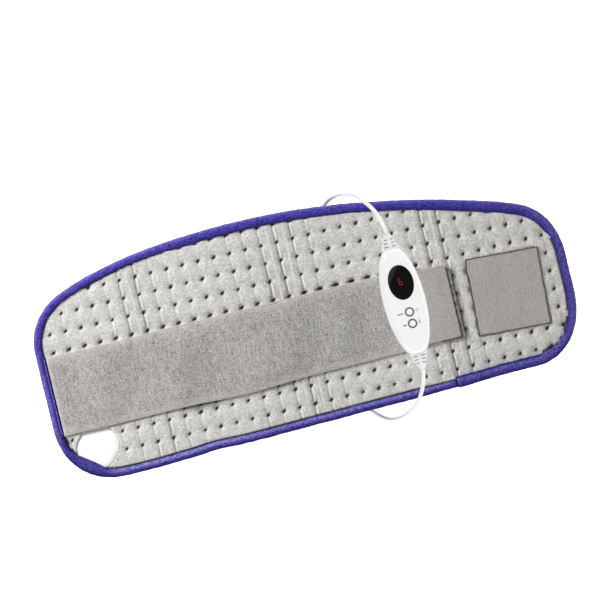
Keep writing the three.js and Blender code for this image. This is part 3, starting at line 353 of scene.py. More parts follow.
# Element carrier and wadding: thin felt panels inside the belt, a little smaller than the covers.
# The heating wire is couched on the carrier, and the wadding lies over it.
# Both are cut round the inlet's flange.
core_felt = pile_material("core_felt", (236, 232, 220), (206, 200, 186), 1400.0, 0.0003)
CORE_INSET = 0.0172
CORE_HOLE = 0.0296
core_edge = moved_in(trim_edge, CORE_INSET)
for node, height, thickness in (("element_carrier", 0.0033, 0.0006), ("wadding", 0.0063, 0.0014)):
    felt = cut_cloth(core_edge, (0.01, 0.01), CORE_HOLE)
    for vert in felt.verts:
        vert.co.z = arch(vert.co.x) + height
    panel = thicken(make_piece(node + "_felt", felt, core_felt), thickness)
    declare(panel, "felt", node)

# Heating wire and thermal cut-outs: an insulated resistance wire in six runs, with two cut-outs in
# glass-fibre sleeves between its runs. They stay as the solids are, inside the belt.

# Moulded surface: the fine grain of a mould, slow changes of tone and faint rubbed places
moulded, moulded_in, moulded_out = group_with(
    "moulded", {"Grain": 1800.0, "Rubs": 60.0}, ["Tone", "Height", "Rubbed"]
)
moulded_place = add_node(moulded, "ShaderNodeTexCoord").outputs["Object"]
moulded_grain = noise_node(moulded, moulded_place, moulded_in.outputs["Grain"], Detail=2.0)
moulded_slow = noise_node(moulded, moulded_place, moulded_in.outputs["Rubs"], Detail=4.0).outputs["Fac"]
moulded.links.new(spread_node(moulded, moulded_slow, 0.3, 0.7), moulded_out.inputs["Tone"])
moulded.links.new(moulded_grain.outputs["Fac"], moulded_out.inputs["Height"])
moulded.links.new(spread_node(moulded, moulded_slow, 0.52, 0.7), moulded_out.inputs["Rubbed"])


def moulded_material(name, light, dark, smooth, rubbed, bump, grain=1800.0, rubs=60.0, over=None, **sockets):
    """A moulded part of one colour: slightly uneven in tone, duller where it is rubbed.
    A function can lay something over its colour."""
    made, tree, shader = new_material(name, **sockets)
    skin = use_group(tree, moulded, grain=grain, rubs=rubs)
    tone = two_tone(tree, skin, dark, light)
    give_surface(tree, shader, over(tree, tone) if over else tone, skin, bump)
    dull = spread_node(tree, skin.outputs["Rubbed"], 0.0, 1.0, smooth, rubbed)
    tree.links.new(dull, shader.inputs["Roughness"])
    return made


def dress(material, *names):
    """Gives CAD nodes a material."""
    for name in names:
        data = nodes[name].data
        data.materials.clear()
        data.materials.append(material)


wire_skin = moulded_material("wire_skin", (196, 92, 52), (160, 70, 40), 0.45, 0.6, 0.00003)
glass_sleeve = moulded_material("glass_sleeve", (224, 212, 178), (196, 180, 140), 0.6, 0.75, 0.0001)
dress(wire_skin, "heating_wire")
dress(glass_sleeve, "thermal_cutout_left", "thermal_cutout_right")

# Cord inlet: a white moulded cup that hangs through the back cover, with a terminal block inside.
# A flat disc closes it and shows in a round window of the quilt.
# A tapered sleeve leads the cord out under the belt.
soft_white = moulded_material("soft_white", (246, 246, 246), (238, 238, 238), 0.42, 0.55, 0.00002)
sleeve_white = moulded_material("sleeve_white", (243, 243, 242), (232, 232, 231), 0.5, 0.6, 0.00004)
black_moulding = moulded_material("black_moulding", (36, 36, 38), (22, 22, 24), 0.45, 0.6, 0.00004)
dress(soft_white, "inlet_base")
dress(black_moulding, "inlet_terminal_block")


def slope(x):
    """Slope of the arch along the belt."""
    return (arch(x + 0.001) - arch(x - 0.001)) / 0.002


inlet_tilt = math.atan(slope(INLET.x))
at_inlet = Matrix.Translation((INLET.x, INLET.y, arch(INLET.x))) @ Matrix.Rotation(-inlet_tilt, 4, "Y")


def turned(profile, segments=64):
    """A round part: a profile of radius and height, spun about the upright axis and merged."""
    lathe = bmesh.new()
    verts = [lathe.verts.new((radius, 0, height)) for radius, height in profile]
    edges = [lathe.edges.new(pair) for pair in zip(verts, verts[1:])]
    bmesh.ops.spin(
        lathe,
        geom=verts + edges,
        axis=(0, 0, 1),
        cent=(0, 0, 0),
        angle=math.tau,
        steps=segments,
        use_merge=True,
    )
    bmesh.ops.remove_doubles(lathe, verts=lathe.verts, dist=1e-6)
    bmesh.ops.recalc_face_normals(lathe, faces=lathe.faces)
    return lathe


def bell(away, width):
    """A smooth bump: 1 in its middle, and falling off over its width."""
    return math.exp(-((away / width) ** 2))


def window_shape(away):
    """How far the round window reaches towards a side, as a share.
    It is flatter on its lower right, and drawn out to the left."""
    angle = math.atan2(away.y, away.x)
    return 1 - 0.1 * bell(angle + 0.75, 0.45) + 0.06 * bell(math.pi - abs(angle), 0.5)


disc = turned([
    (0, 0.0056),
    (0.0287, 0.0056),
    (0.029, 0.0059),
    (0.029, 0.0071),
    (0.0287, 0.0074),
    (0.0274, 0.0074),
    (0.0271, 0.0077),
    (0.0268, 0.0082),
    (0.0261, 0.0085),
    (0.02, 0.0086),
    (0.01, 0.0087),
    (0, 0.0087),
])
for vert in disc.verts:
    vert.co.xy *= window_shape(vert.co)


def moved_by(matrix, mesh):
    """A bmesh, moved by a matrix."""
    bmesh.ops.transform(mesh, matrix=matrix, verts=mesh.verts)
    return mesh


inlet_disc = make_piece("inlet_disc", moved_by(at_inlet, disc), soft_white, sharp=40)
declare(inlet_disc, "white_soft", "inlet_cover")


def verts_in(items):
    """The points among what a bmesh operator gives."""
    return [item for item in items if isinstance(item, bmesh.types.BMVert)]


def oblong(half_width, half_height, sides, squareness=0.62):
    """Points of a rounded oblong section."""
    points = []
    for k in range(sides):
        angle = math.tau * (k + 0.5) / sides
        across, up = math.cos(angle), math.sin(angle)
        points.append((
            half_width * math.copysign(abs(across) ** squareness, across),
            half_height * math.copysign(abs(up) ** squareness, up),
        ))
    return points


def lofted(sections, sides=32):
    """A tapered part along Y: each section is its place, half width and half height."""
    sleeve = bmesh.new()
    order = sleeve.verts.layers.int.new("order")
    ring = bmesh.ops.create_circle(sleeve, cap_ends=True, segments=sides, radius=1)["verts"]
    for k, vert in enumerate(ring):
        vert[order] = k
    faces = sleeve.faces[:]
    for number, (along, half_width, half_height) in enumerate(sections):
        if number:
            grown = bmesh.ops.extrude_face_region(sleeve, geom=faces)["geom"]
            if number > 1:
                bmesh.ops.delete(sleeve, geom=faces, context="FACES_ONLY")
            faces = [item for item in grown if isinstance(item, bmesh.types.BMFace)]
            ring = verts_in(grown)
        shape = oblong(half_width, half_height, sides)
        for vert in ring:
            across, up = shape[vert[order]]
            vert.co = (across, along, up)
    bmesh.ops.recalc_face_normals(sleeve, faces=sleeve.faces)
    return sleeve


inlet_sleeve = lofted([
    (-0.0035, 0.003, 0.0018),
    (0.0006, 0.003, 0.0018),
    (0.0006, 0.0047, 0.0028),
    (0.0014, 0.005, 0.003),
    (0.009, 0.0044, 0.003),
    (0.017, 0.0037, 0.003),
    (0.0232, 0.0032, 0.0029),
    (0.0239, 0.0029, 0.0027),
])
ALONG_BELT = Matrix.Rotation(-math.pi / 2, 4, "Z")
sleeve_way = Matrix.Translation((INLET.x + 0.02, INLET.y, 0.0038)) @ ALONG_BELT
inlet_relief = make_piece("inlet_sleeve", moved_by(sleeve_way, inlet_sleeve), sleeve_white, sharp=45)
declare(inlet_relief, "cord", "inlet_relief")

# Quilted cover: fleece over a thin fill, welded to a backing at spots in straight rows.
# It swells between the spots, and the belt's packed folds have left creases along some columns.
# The strap and the patch press it flat, and a round window in its corner shows the inlet.
QUILT_BOTTOM = 0.008
QUILT_RIM = 0.0086
QUILT_PUFF = 0.0118
WINDOW_RADIUS = 0.0274
BELT_END = 0.3375
PRESS_SOFTNESS = 0.005
STRAP_LOW, STRAP_HIGH = -0.0735, 0.0265
STRAP_SEWN = -0.3265
PRESS_LEFT, PRESS_RIGHT = -0.33, 0.187
PATCH_LEFT, PATCH_RIGHT = 0.21, 0.303
PATCH_LOW, PATCH_HIGH = -0.0765, 0.0215
SPOT_COLUMNS = range(-10, 26)
SPOT_ROWS = range(-2, 12)
# A spot that lies off its place in the rows, by column and row
MOVED_SPOTS = {(-8, 8): (-0.0037, 0.0031)}
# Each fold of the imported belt: its middle, its reach and how strongly it creased the quilt
FOLDS = ((-0.198, 0.034, 1.05), (-0.07, 0.008, 0.5), (-0.01, 0.032, 1.4), (0.178, 0.026, 1.3))


def tree_of(line):
    """A search tree of the points of a line."""
    tree = kdtree.KDTree(len(line))
    for number, point in enumerate(line):
        tree.insert((point[0], point[1], 0), number)
    tree.balance()
    return tree


edge_tree = tree_of(belt_outline(900))

# Line that the binding follows: a little lower and longer than the outline, uneven on its lower left
BINDING_RINGS = 1120
binding_line = belt_outline(BINDING_RINGS) * (1.0024, 1.0) + (0.0003, -0.0007)
lower = binding_line[:, 1] < -0.1
lower_x = binding_line[lower, 0]
binding_line[lower, 1] += 0.0018 * np.exp(-(((lower_x + 0.142) / 0.022) ** 2))
binding_line[lower, 1] -= 0.0012 * np.exp(-(((lower_x + 0.225) / 0.035) ** 2))
sewn_tree = tree_of(binding_line)


def depth_inside(x, y):
    """Distance from the belt's edge of a place on the belt."""
    return edge_tree.find((x, y, 0))[2]


def ease(t):
    """A smooth step from 0 to 1."""
    s = min(max(t, 0.0), 1.0)
    return s * s * (3 - 2 * s)


def crest(x):
    """Height of the swollen quilt along the belt's middle."""
    return arch(x) + QUILT_RIM + (QUILT_PUFF - QUILT_RIM) * ease((BELT_END - abs(x)) / 0.03)


def pressed(x, y, margin=0.0):
    """How far the strap or the patch presses the quilt flat at a place, 0 to 1."""
    strap = min(x - PRESS_LEFT, PRESS_RIGHT - x, y - STRAP_LOW, STRAP_HIGH - y)
    patch = min(x - PATCH_LEFT, PATCH_RIGHT - x, y - PATCH_LOW, PATCH_HIGH - y)
    return ease((max(strap, patch) + margin) / PRESS_SOFTNESS)


def strap_rise(x):
    """How far the strap has climbed across the belt at a place along it."""
    return 0.0028 * ease((x - STRAP_SEWN) / 0.47)


def strap_bow(x):
    """How far the strap's lower edge bows down at a place along it."""
    return 0.003 * bell(x + 0.09, 0.055) - strap_rise(x)


def folded(x):
    """How strongly the belt was creased here by being folded to pack it, 0 to 1 or a little more."""
    return sum(strength * bell(x - place, reach) for place, reach, strength in FOLDS)


chance = random.Random(7)
spots = {}
for column in SPOT_COLUMNS:
    for row in SPOT_ROWS:
        moved = MOVED_SPOTS.get((column, row), (0, 0))
        x = FIRST_SPOT[0] + column * SPOT_PITCH[0] + moved[0]
        y = FIRST_SPOT[1] - row * SPOT_PITCH[1] + moved[1]
        size = chance.uniform(0.85, 1.15)
        if depth_inside(x, y) > 0.0105 and pressed(x, y, -0.002) < 0.5:
            if (Vector((x, y)) - INLET).length > WINDOW_RADIUS + 0.004:
                spots[column, row] = size

quilt = cut_cloth(moved_in(trim_edge, 0.0055), GRID_STEP, WINDOW_RADIUS)
for vert in quilt.verts:
    away = vert.co.xy - INLET
    if vert.is_boundary and away.length < WINDOW_RADIUS + 0.001:
        vert.co.xy = INLET + away * window_shape(away)
on_top = quilt.verts.layers.float.new("on_top")
# Painted shade on the quilt's points: in and beside its pits, in its creases, beside the binding's lip and
# under the strap's edge
painted_shade_layer = quilt.verts.layers.float.new("painted_shade")
sheet_faces = quilt.faces[:]
raised = bmesh.ops.extrude_face_region(quilt, geom=sheet_faces, use_keep_orig=True)["geom"]
for face in sheet_faces:
    face.normal_flip()
for vert in verts_in(raised):
    vert[on_top] = 1.0


def puff(x, y):
    """Height of the swollen quilt over its own bottom, without its spots."""
    swell = ease((depth_inside(x, y) - 0.004) / 0.02)
    open_height = (QUILT_PUFF - QUILT_RIM) * swell
    return QUILT_RIM - QUILT_BOTTOM + open_height * (1 - 0.2 * pressed(x, y))


def nearest_spot(x, y):
    """Column and row of the nearest place of the spots' grid, and the way from it."""
    column = round((x - FIRST_SPOT[0]) / SPOT_PITCH[0])
    row = round((FIRST_SPOT[1] - y) / SPOT_PITCH[1])
    moved = MOVED_SPOTS.get((column, row), (0, 0))
    away_x = x - FIRST_SPOT[0] - column * SPOT_PITCH[0] - moved[0]
    away_y = y - FIRST_SPOT[1] + row * SPOT_PITCH[1] - moved[1]
    return (column, row), away_x, away_y


sewn = []
for vert in quilt.verts:
    x, y = vert.co.x, vert.co.y
    spot, away_x, away_y = nearest_spot(x, y)
    at_spot = spot in spots and math.hypot(away_x, away_y) < 0.002
    vert.co.z = arch(x) + QUILT_BOTTOM
    if vert[on_top] > 0.5:
        vert.co.z += puff(x, y) * (0.45 if at_spot else 0.8 if pressed(x, y) < 0.5 else 1.0)
    at_rim = depth_inside(x, y) < 0.0075 or (vert.co.xy - INLET).length < WINDOW_RADIUS + 0.001
    if vert[on_top] < 0.5 or at_spot or at_rim or pressed(x, y) > 0.5:
        sewn.append(vert.index)
quilt.verts.index_update()
quilt.normal_update()


def swell_between(pad, pinned, frames=18):
    """Blows a pad up between its pinned points by cloth simulation, and gives its new points."""
    pins = pad.vertex_groups.new(name="sewn")
    pins.add(pinned, 1.0, "REPLACE")
    cloth = pad.modifiers.new("swell", "CLOTH")
    cloth.settings.vertex_group_mass = "sewn"
    cloth.settings.use_pressure = True
    cloth.settings.uniform_pressure_force = 3.0
    cloth.settings.effector_weights.gravity = 0.0
    cloth.settings.shrink_min = -0.04
    cloth.point_cache.frame_end = frames
    for number in range(1, frames + 1):
        bpy.context.scene.frame_set(number)
    swollen = pad.evaluated_get(bpy.context.evaluated_depsgraph_get()).data
    points = np.zeros(len(swollen.vertices) * 3)
    swollen.vertices.foreach_get("co", points)
    bpy.context.scene.frame_set(1)
    return points.reshape(-1, 3)


trial_data = bpy.data.meshes.new("quilt_trial")
quilt.to_mesh(trial_data)
trial = put_in_scene("quilt_trial", trial_data)
swollen_points = swell_between(trial, sewn)
bpy.data.objects.remove(trial)
for vert, point in zip(quilt.verts, swollen_points):
    vert.co.z += min(max(point[2] - vert.co.z, -0.0006), 0.0016)

fine_edges = []
for edge in quilt.edges:
    middle = (edge.verts[0].co + edge.verts[1].co) / 2
    if min(v[on_top] for v in edge.verts) > 0.5 and pressed(middle.x, middle.y, -0.012) < 0.5:
        fine_edges.append(edge)
bmesh.ops.subdivide_edges(quilt, edges=fine_edges, cuts=5, use_grid_fill=True)
top_verts = [v for v in quilt.verts if v[on_top] > 0.5]
for _ in range(12):
    bmesh.ops.smooth_vert(quilt, verts=top_verts, factor=0.5, use_axis_z=True)


def drawn_in(away, half):
    """A distance from a spot's line, made shorter near it, so that the grid is finest round the spots."""
    return math.copysign(half * min(abs(away) / half, 1.0) ** 1.5, away)


for vert in top_verts:
    x, y = vert.co.x, vert.co.y
    spot, away_x, away_y = nearest_spot(x, y)
    loose = ease((depth_inside(x, y) - 0.007) / 0.008) * (1 - pressed(x, y, 0.006))
    loose *= ease(((vert.co.xy - INLET).length - WINDOW_RADIUS - 0.001) / 0.006)
    vert.co.x += loose * (drawn_in(away_x, SPOT_PITCH[0] / 2) - away_x)
    vert.co.y += loose * (drawn_in(away_y, SPOT_PITCH[1] / 2) - away_y)


def crease_depth(x, y):
    """Depth and painted shade of the creases along the columns.
    The quilt falls slowly to a crease and rises sharply past it."""
    total = 0.0
    dark = 0.0
    half = SPOT_PITCH[0] / 2
    first = math.floor((x - FIRST_SPOT[0]) / half)
    for number in (first - 1, first, first + 1, first + 2):
        line = FIRST_SPOT[0] + number * half
        away = x - line - 0.0014 * noise.noise((number * 7.3, y * 28, 0.4)) + 0.0012
        strength = 0.06 + folded(line) if number % 2 == 0 else 0.3 * folded(line) ** 2
        strength *= 0.5 + 0.5 * ease(0.6 + 1.4 * noise.noise((number * 3.1, y * 14, 5.2)))
        valley = math.exp(away / 0.0016) if away < 0 else math.exp(-away / 0.0009)
        ridge = bell(away - 0.0027, 0.0017)
        total += strength * (0.0027 * valley - 0.0008 * ridge)
        dark += 0.5 * strength * bell(away + 0.0004, 0.0008)
    return total, dark


# Where the binding's two ends overlap, and the middle of its wide stretch over the inlet's disc
SEAM_X = 0.168
CORNER = INLET + Vector((-0.0225, -0.0245))


def lip_gap_shade(x, y):
    """Painted shade in the gap between the binding's lip and the quilt at a place, and its width."""
    if y > 0.027:
        return (0.1, 0.001) if x > -0.15 else (0.7, 0.0011)
    if x > 0.28:
        return 0.9, 0.0023
    return (0.1, 0.001) if x > SEAM_X else (1.05, 0.0019)


def lip_shift(x, y):
    """How much wider than usual the binding's lip is sewn at a place: less than 0 where it is narrower."""
    if y > 0.02:
        widened = ease((x + 0.17) / 0.05) + ease((x - 0.16) / 0.04)
        return 0.0014 * widened * ease((y - 0.027) / 0.01)
    if y > -0.1 and x > -0.25:
        return 0.0
    if x > SEAM_X:
        return 0.0028 * ease((0.297 - x) / 0.008)
    over_disc = max(0.0, 1 - ((x - CORNER.x - y + CORNER.y) / 0.032) ** 2) if x < -0.27 else 0.0
    return 0.0056 * over_disc - 0.0006 * ease((x + 0.28) / 0.02) - 0.0014 * ease((x - 0.1) / 0.06)


# Each point of the quilt's top is lowered into its pits, dimples and creases, and given its painted shade:
# dark in each pit with a shaded tail to its left, in the creases, beside the binding's lip, and a painted
# shadow with dark notches under the strap's lifted edge
for vert in top_verts:
    x, y = vert.co.x, vert.co.y
    spot, away_x, away_y = nearest_spot(x, y)
    depth = depth_inside(x, y)
    free = 1 - pressed(x, y)
    inner = ease((depth - 0.006) / 0.008)
    pit = 0.0
    dimple = 0.0
    shade_tail = 0.0
    if spot in spots:
        lean = 0.81 + 0.34 * ease((x - 0.08) / 0.08)
        lengthwise = math.cos(lean) * away_x + math.sin(lean) * away_y
        crosswise = math.sin(lean) * away_x - math.cos(lean) * away_y
        reach = math.hypot(lengthwise / 0.0028, crosswise / 0.0018) / spots[spot]
        if spot[1] == 3 and x < 0.11:
            far = ease((x + 0.01) / 0.03)
            slant = away_y - (0.4 - 0.27 * far) * away_x
            reach = math.hypot(away_x / (0.0019 * (2.4 + 2 * far if away_x < 0 else 1)), slant / 0.0021)
        pit = math.exp(-(reach ** 2.6))
        lee = away_x - 0.0008
        dimple = math.exp(-math.hypot(lee / (0.005 if lee < 0 else 0.0036), away_y / 0.0038))
        shade_tail = 0.3 * bell(away_x + 0.0024, 0.003) * bell(away_y + 0.0006, 0.0019)
        free = max(free, pit)
    crease, crease_shade = crease_depth(x, y) if free > 0 else (0.0, 0.0)
    lumps = 0.00012 * noise.noise((x * 48, y * 48, 1.7)) + 0.00003 * noise.noise((x * 170, y * 170, 8.3))
    sink = (0.0016 * pit + 0.0034 * dimple) * inner + (crease - lumps) * inner * free
    floor = arch(x) + QUILT_BOTTOM + 0.0003
    top = crest(x) + 0.0011 - (0.003 if x > 0.2 else 0.0017) * pressed(x, y, 0.003)
    vert.co.z = min(max(vert.co.z - sink, floor), top)
    gap_shade, width = lip_gap_shade(x, y)
    from_lip = sewn_tree.find((x, y, 0))[2] - 0.0116 - lip_shift(x, y)
    shade_beside_tape = gap_shade * bell(from_lip, width)
    edge_y = STRAP_LOW - strap_bow(x)
    under_strap = edge_y - y if x < 0.15 and y < edge_y + 0.001 else 1.0
    lifted = math.exp(-(((x + 0.147) / 0.031) ** 4)) + 0.6 * math.exp(-(((x + 0.045) / 0.02) ** 4))
    notch_shade = min(1.0, 0.2 + folded(x) + 0.5 * lifted)
    notch_shade *= bell(away_x - 0.001, 0.0018) * bell(under_strap, 0.0022)
    shadow = 0.6 * lifted * bell(max(0.0, under_strap), 0.0035 + 0.004 * lifted)
    dark = pit + (shade_tail + crease_shade * free) * inner + shade_beside_tape + 0.8 * notch_shade + shadow
    vert[painted_shade_layer] = min(1.0, dark)


def painted(tree, name):
    """A value that a mesh carries on its points."""
    return add_node(tree, "ShaderNodeAttribute", attribute_name=name).outputs["Fac"]


fleece, fleece_tree, fleece_shader = new_material(
    "quilted_fleece", Roughness=0.95, Sheen_Weight=0.2, Sheen_Roughness=0.6, Specular_IOR_Level=0.1
)
fleece_fibre = use_group(fleece_tree, pile, fibres=900.0)
fleece_face = two_tone(fleece_tree, fleece_fibre, (172, 170, 167), (226, 224, 221))
fleece_shade = spread_node(fleece_tree, painted(fleece_tree, "painted_shade"), 0.1, 0.85)
# The painted shade mixes the fleece towards a dark brown
fleece_tone = mix_colours(fleece_tree, fleece_shade, fleece_face, colour(34, 32, 29))
give_surface(fleece_tree, fleece_shader, fleece_tone, fleece_fibre, 0.0011)
quilt_piece = make_piece("quilted_fleece", quilt, fleece)
declare(quilt_piece, "fleece", "quilted_cover")

# Edge binding: an indigo tape, folded over the edges of all the layers and sewn through.
# It is slightly gathered round the corners, and its two ends overlap on the lower edge.
# A row of stitches runs just inside its upper lip.
OVERLAP = Vector((SEAM_X, -0.1235))
OVERLAP_LENGTH = 0.05
RING_STEP = 0.0015
LIP_INSET = 0.0115
seam_ring = int(np.argmin(np.hypot(binding_line[:, 0] - OVERLAP.x, binding_line[:, 1] - OVERLAP.y)))
binding_line[seam_ring + 1] = binding_line[seam_ring] * 0.85 + binding_line[seam_ring + 1] * 0.15
binding_way = np.roll(binding_line, -1, 0) - np.roll(binding_line, 1, 0)
binding_way /= np.linalg.norm(binding_way, axis=1)[:, None]
near_spots = []
for column, row in spots:
    x = FIRST_SPOT[0] + column * SPOT_PITCH[0]
    y = FIRST_SPOT[1] - row * SPOT_PITCH[1]
    if depth_inside(x, y) < 0.0145:
        near_spots.append(Vector((x, y)))

# Insets and heights round the tape: its upper lip, the same lip folded double and the painted shade
# in its grooves, and the rest of the tape down to its lower lip
PLAIN_LIP = (
    (0.0112, 0.0091),
    (0.01118, 0.0093),
    (0.01114, 0.0095),
    (0.01108, 0.0097),
    (0.0109, 0.0099),
    (0.0098, 0.0105),
    (0.0089, 0.0107),
    (0.0083, 0.0108),
    (0.0075, 0.0109),
)
FOLDED_LIP = (
    (0.0124, 0.011),
    (0.012, 0.0106),
    (0.0114, 0.0106),
    (0.0107, 0.0116),
    (0.01, 0.0121),
    (0.0092, 0.0121),
    (0.0085, 0.0113),
    (0.0078, 0.0104),
    (0.0071, 0.0108),
)
FOLD_SHADES = (1.0, 1.0, 0.9, 0.3, 0.0, 0.0, 0.4, 1.0, 0.3)
TAPE_REST = (
    (0.0052, 0.0108),
    (0.003, 0.0101),
    (0.0013, 0.0086),
    (0.0003, 0.0066),
    (0.0001, 0.0046),
    (0.0008, 0.0026),
    (0.0024, 0.001),
    (0.0048, 0.0003),
    (0.0078, 0.0002),
    (0.0108, 0.0004),
)


def tape_section(fold):
    """Inset and height of the tape from its upper lip round to its lower lip.
    Where the strap is sewn in, the lip is folded double into a narrow roll between two grooves."""
    lip = [Vector(plain).lerp(folded_point, fold) for plain, folded_point in zip(PLAIN_LIP, FOLDED_LIP)]
    return [tuple(point) for point in lip] + list(TAPE_REST)


def wear_and_highlight(x, y, inset):
    """How much lighter the tape is at a place, partly rubbed and partly a painted highlight where it faces
    the light: along its outer edge above, and beside its lip below.
    """
    if x < -0.3 and -0.08 < y < 0.01:
        return 0.22 * (1 - ease((inset - 0.0055) / 0.0025))
    below = ease((-0.085 - y) / 0.03)
    at_edge = (0.26 - 0.04 * ease((x - 0.1) / 0.05)) * (1 - ease((inset - 0.0006) / 0.0045))
    at_edge += 0.14 * ease((x - 0.29) / 0.02)
    at_lip = ease((inset - 0.0036) / 0.0055) * (1 - ease((inset - 0.0101) / 0.0013))
    share = 0.15 + 0.7 * ease((x + 0.29) / 0.03) - 0.27 * ease((x + 0.15) / 0.1)
    at_lip *= share - 0.28 * ease((x - 0.15) / 0.03)
    return at_edge + (at_lip - at_edge) * below


def fold_at(number):
    """How far the tape is folded double at a ring, 0 to 1: only along the strap's sewn end."""
    x, y = binding_line[number]
    beside = min(y - STRAP_LOW + 0.002, STRAP_HIGH + 0.002 - y) / 0.003
    return ease(beside) if x < -0.3 else 0.0


def lip_stray(number):
    """How far the lip strays over the quilt at a ring: a little everywhere, more into a spot."""
    x, y = binding_line[number]
    stray = 0.0005 * (noise.noise((x * 55, y * 55, 2.2)) + noise.noise((x * 280, y * 280, 4.1)))
    lip = Vector((x - binding_way[number][1] * LIP_INSET, y + binding_way[number][0] * LIP_INSET))
    for spot in near_spots:
        stray += 0.0008 * bell((lip - spot).length, 0.0027)
    return stray + lip_shift(*lip)


lip_strays = [lip_stray(number) for number in range(BINDING_RINGS)]


def tape_point(number, inset, height):
    """A point of the tape, with its small wrinkles, and with the step where its ends overlap."""
    x, y = binding_line[number]
    inwards = Vector((-binding_way[number][1], binding_way[number][0]))
    x, y = Vector((x, y)) + inwards * 0.0006 * noise.noise((x * 24, y * 24, 6.6))
    if height > 0.005:
        at_lip = ease((inset - 0.006) / 0.005)
        inset += at_lip * lip_strays[number]
        height += at_lip * min(max(0.5 * lip_strays[number], 0.0), 0.0011)
    ripple = noise.noise((x * 110, y * 110, inset * 160)) + 0.6 * noise.noise((x * 300, y * 300, inset * 300))
    swell = 0.0004 * ripple
    past_seam = (number - seam_ring - 1) * RING_STEP
    if 0 <= past_seam < OVERLAP_LENGTH:
        swell += 0.0011 * (1 - ease(past_seam / OVERLAP_LENGTH))
    elif -0.006 < past_seam < 0:
        swell -= 0.0005 * (1 + past_seam / 0.006)
    out = swell * (1 - ease((inset - 0.0005) / 0.003))
    place = Vector((x, y)) + inwards * (inset - out)
    rise = height + swell * ease((inset - 0.0005) / 0.003) * (1 if height > 0.005 else 0)
    return Vector((place.x, place.y, arch(place.x) + rise))


def next_ring(mesh, edges):
    """Extrudes a ring of edges, and gives the points and the edges of the new ring."""
    grown = bmesh.ops.extrude_edge_only(mesh, edges=edges)["geom"]
    ring = set(verts_in(grown))
    grown_edges = [item for item in grown if isinstance(item, bmesh.types.BMEdge)]
    return ring, [edge for edge in grown_edges if ring.issuperset(edge.verts)]


folds = [fold_at(number) for number in range(BINDING_RINGS)]
sections = [tape_section(fold) for fold in folds]
binding = bmesh.new()
place_of = binding.verts.layers.int.new("place")
worn_and_lit = binding.verts.layers.float.new("worn_and_lit")
gap = binding.verts.layers.float.new("gap")
ring = []
for number in range(BINDING_RINGS):
    vert = binding.verts.new(tape_point(number, *sections[number][0]))
    vert[place_of] = number
    ring.append(vert)
ring_edges = [binding.edges.new((ring[k - 1], ring[k])) for k in range(len(ring))]
for step in range(1, len(sections[0])):
    ring, ring_edges = next_ring(binding, ring_edges)
    for vert in ring:
        number = vert[place_of]
        inset, height = sections[number][step]
        vert.co = tape_point(number, inset, height)
        roll = 0.3 * folds[number] if step in (4, 5) else 0.3 if number == seam_ring + 2 else 0.0
        # Lighter tape: rubbed in places, with a painted highlight on faces towards the light, on the folded
        # roll's top and just past the seam
        vert[worn_and_lit] = max(roll, wear_and_highlight(vert.co.x, vert.co.y, inset))
        past_seam = (number - seam_ring) * RING_STEP
        at_end = number in (seam_ring - 1, seam_ring)
        at_row = 0 < past_seam < 0.11 and 0.0092 < inset < 0.01
        # The gap value is painted shade: along the lip, on the lower tape's outer edge where it rolls under,
        # in the
        # fold's grooves and across the seam; it also darkens the lower left corner and a line along the tape
        # past the seam
        lip = (0.1 if vert.co.y < -0.095 else 0.65) * ease((inset - 0.0058) / 0.005)
        if vert.co.y < -0.095:
            lip += 0.45 * (1 - ease((inset - 0.0012) / 0.004))
        lip += 0.3 * ease((-0.265 - vert.co.x) / 0.02) * ease((-0.06 - vert.co.y) / 0.02)
        if folds[number] > 0.5 and step < len(FOLD_SHADES):
            lip = FOLD_SHADES[step]
        vert[gap] = (1.0 if at_end or at_row else lip) if height > 0.004 else 0.0
bmesh.ops.recalc_face_normals(binding, faces=binding.faces)
facing = 0.0
for face in binding.faces:
    middle = face.calc_center_median()
    if middle.z - arch(middle.x) > 0.01:
        facing += face.normal.z
if facing < 0:
    bmesh.ops.reverse_faces(binding, faces=binding.faces)

indigo_tape, tape_tree, tape_shader = new_material(
    "indigo_tape", Roughness=0.8, Sheen_Weight=0.03, Sheen_Roughness=0.4, Specular_IOR_Level=0.12
)
tape_nap = use_group(tape_tree, pile, fibres=820.0, patches=300.0)
tape_face = two_tone(tape_tree, tape_nap, (24, 14, 106), (91, 80, 180))
# The tape's lighter colour, for its rubbed places and its painted highlights
tape_worn_and_lit = two_tone(tape_tree, tape_nap, (84, 76, 160), (182, 178, 230))
tape_tone = mix_colours(tape_tree, painted(tape_tree, "worn_and_lit"), tape_face, tape_worn_and_lit)
# The painted shade mixes the tape towards a dark navy
tape_tone = mix_colours(tape_tree, painted(tape_tree, "gap"), tape_tone, colour(16, 11, 76))
give_surface(tape_tree, tape_shader, tape_tone, tape_nap, 0.0006)
tape = thicken(make_piece("binding_tape", binding, indigo_tape), 0.001, offset=-1.0)
declare(tape, "binding", "edge_binding")


def stitch_row(name, points, length, gap, thickness, thread):
    """A row of sewn stitches along a line: short rounded threads that dip at their ends."""
    row = bmesh.new()
    line = np.array([tuple(p) for p in points])
    walked = walked_along(line)
    for start in np.arange(gap, walked[-1] - length, length + gap):
        ends = []
        for place in (start, start + length):
            ends.append(Vector([np.interp(place, walked, line[:, axis]) for axis in range(3)]))
        way = ends[1] - ends[0]
        turn = way.to_track_quat("X", "Z").to_matrix().to_4x4()
        size = Matrix.Diagonal((way.length / 2, thickness, thickness * 0.7, 1))
        bmesh.ops.create_icosphere(
            row, subdivisions=1, radius=1, matrix=Matrix.Translation((ends[0] + ends[1]) / 2) @ turn @ size
        )
    return make_piece(name, row, thread)


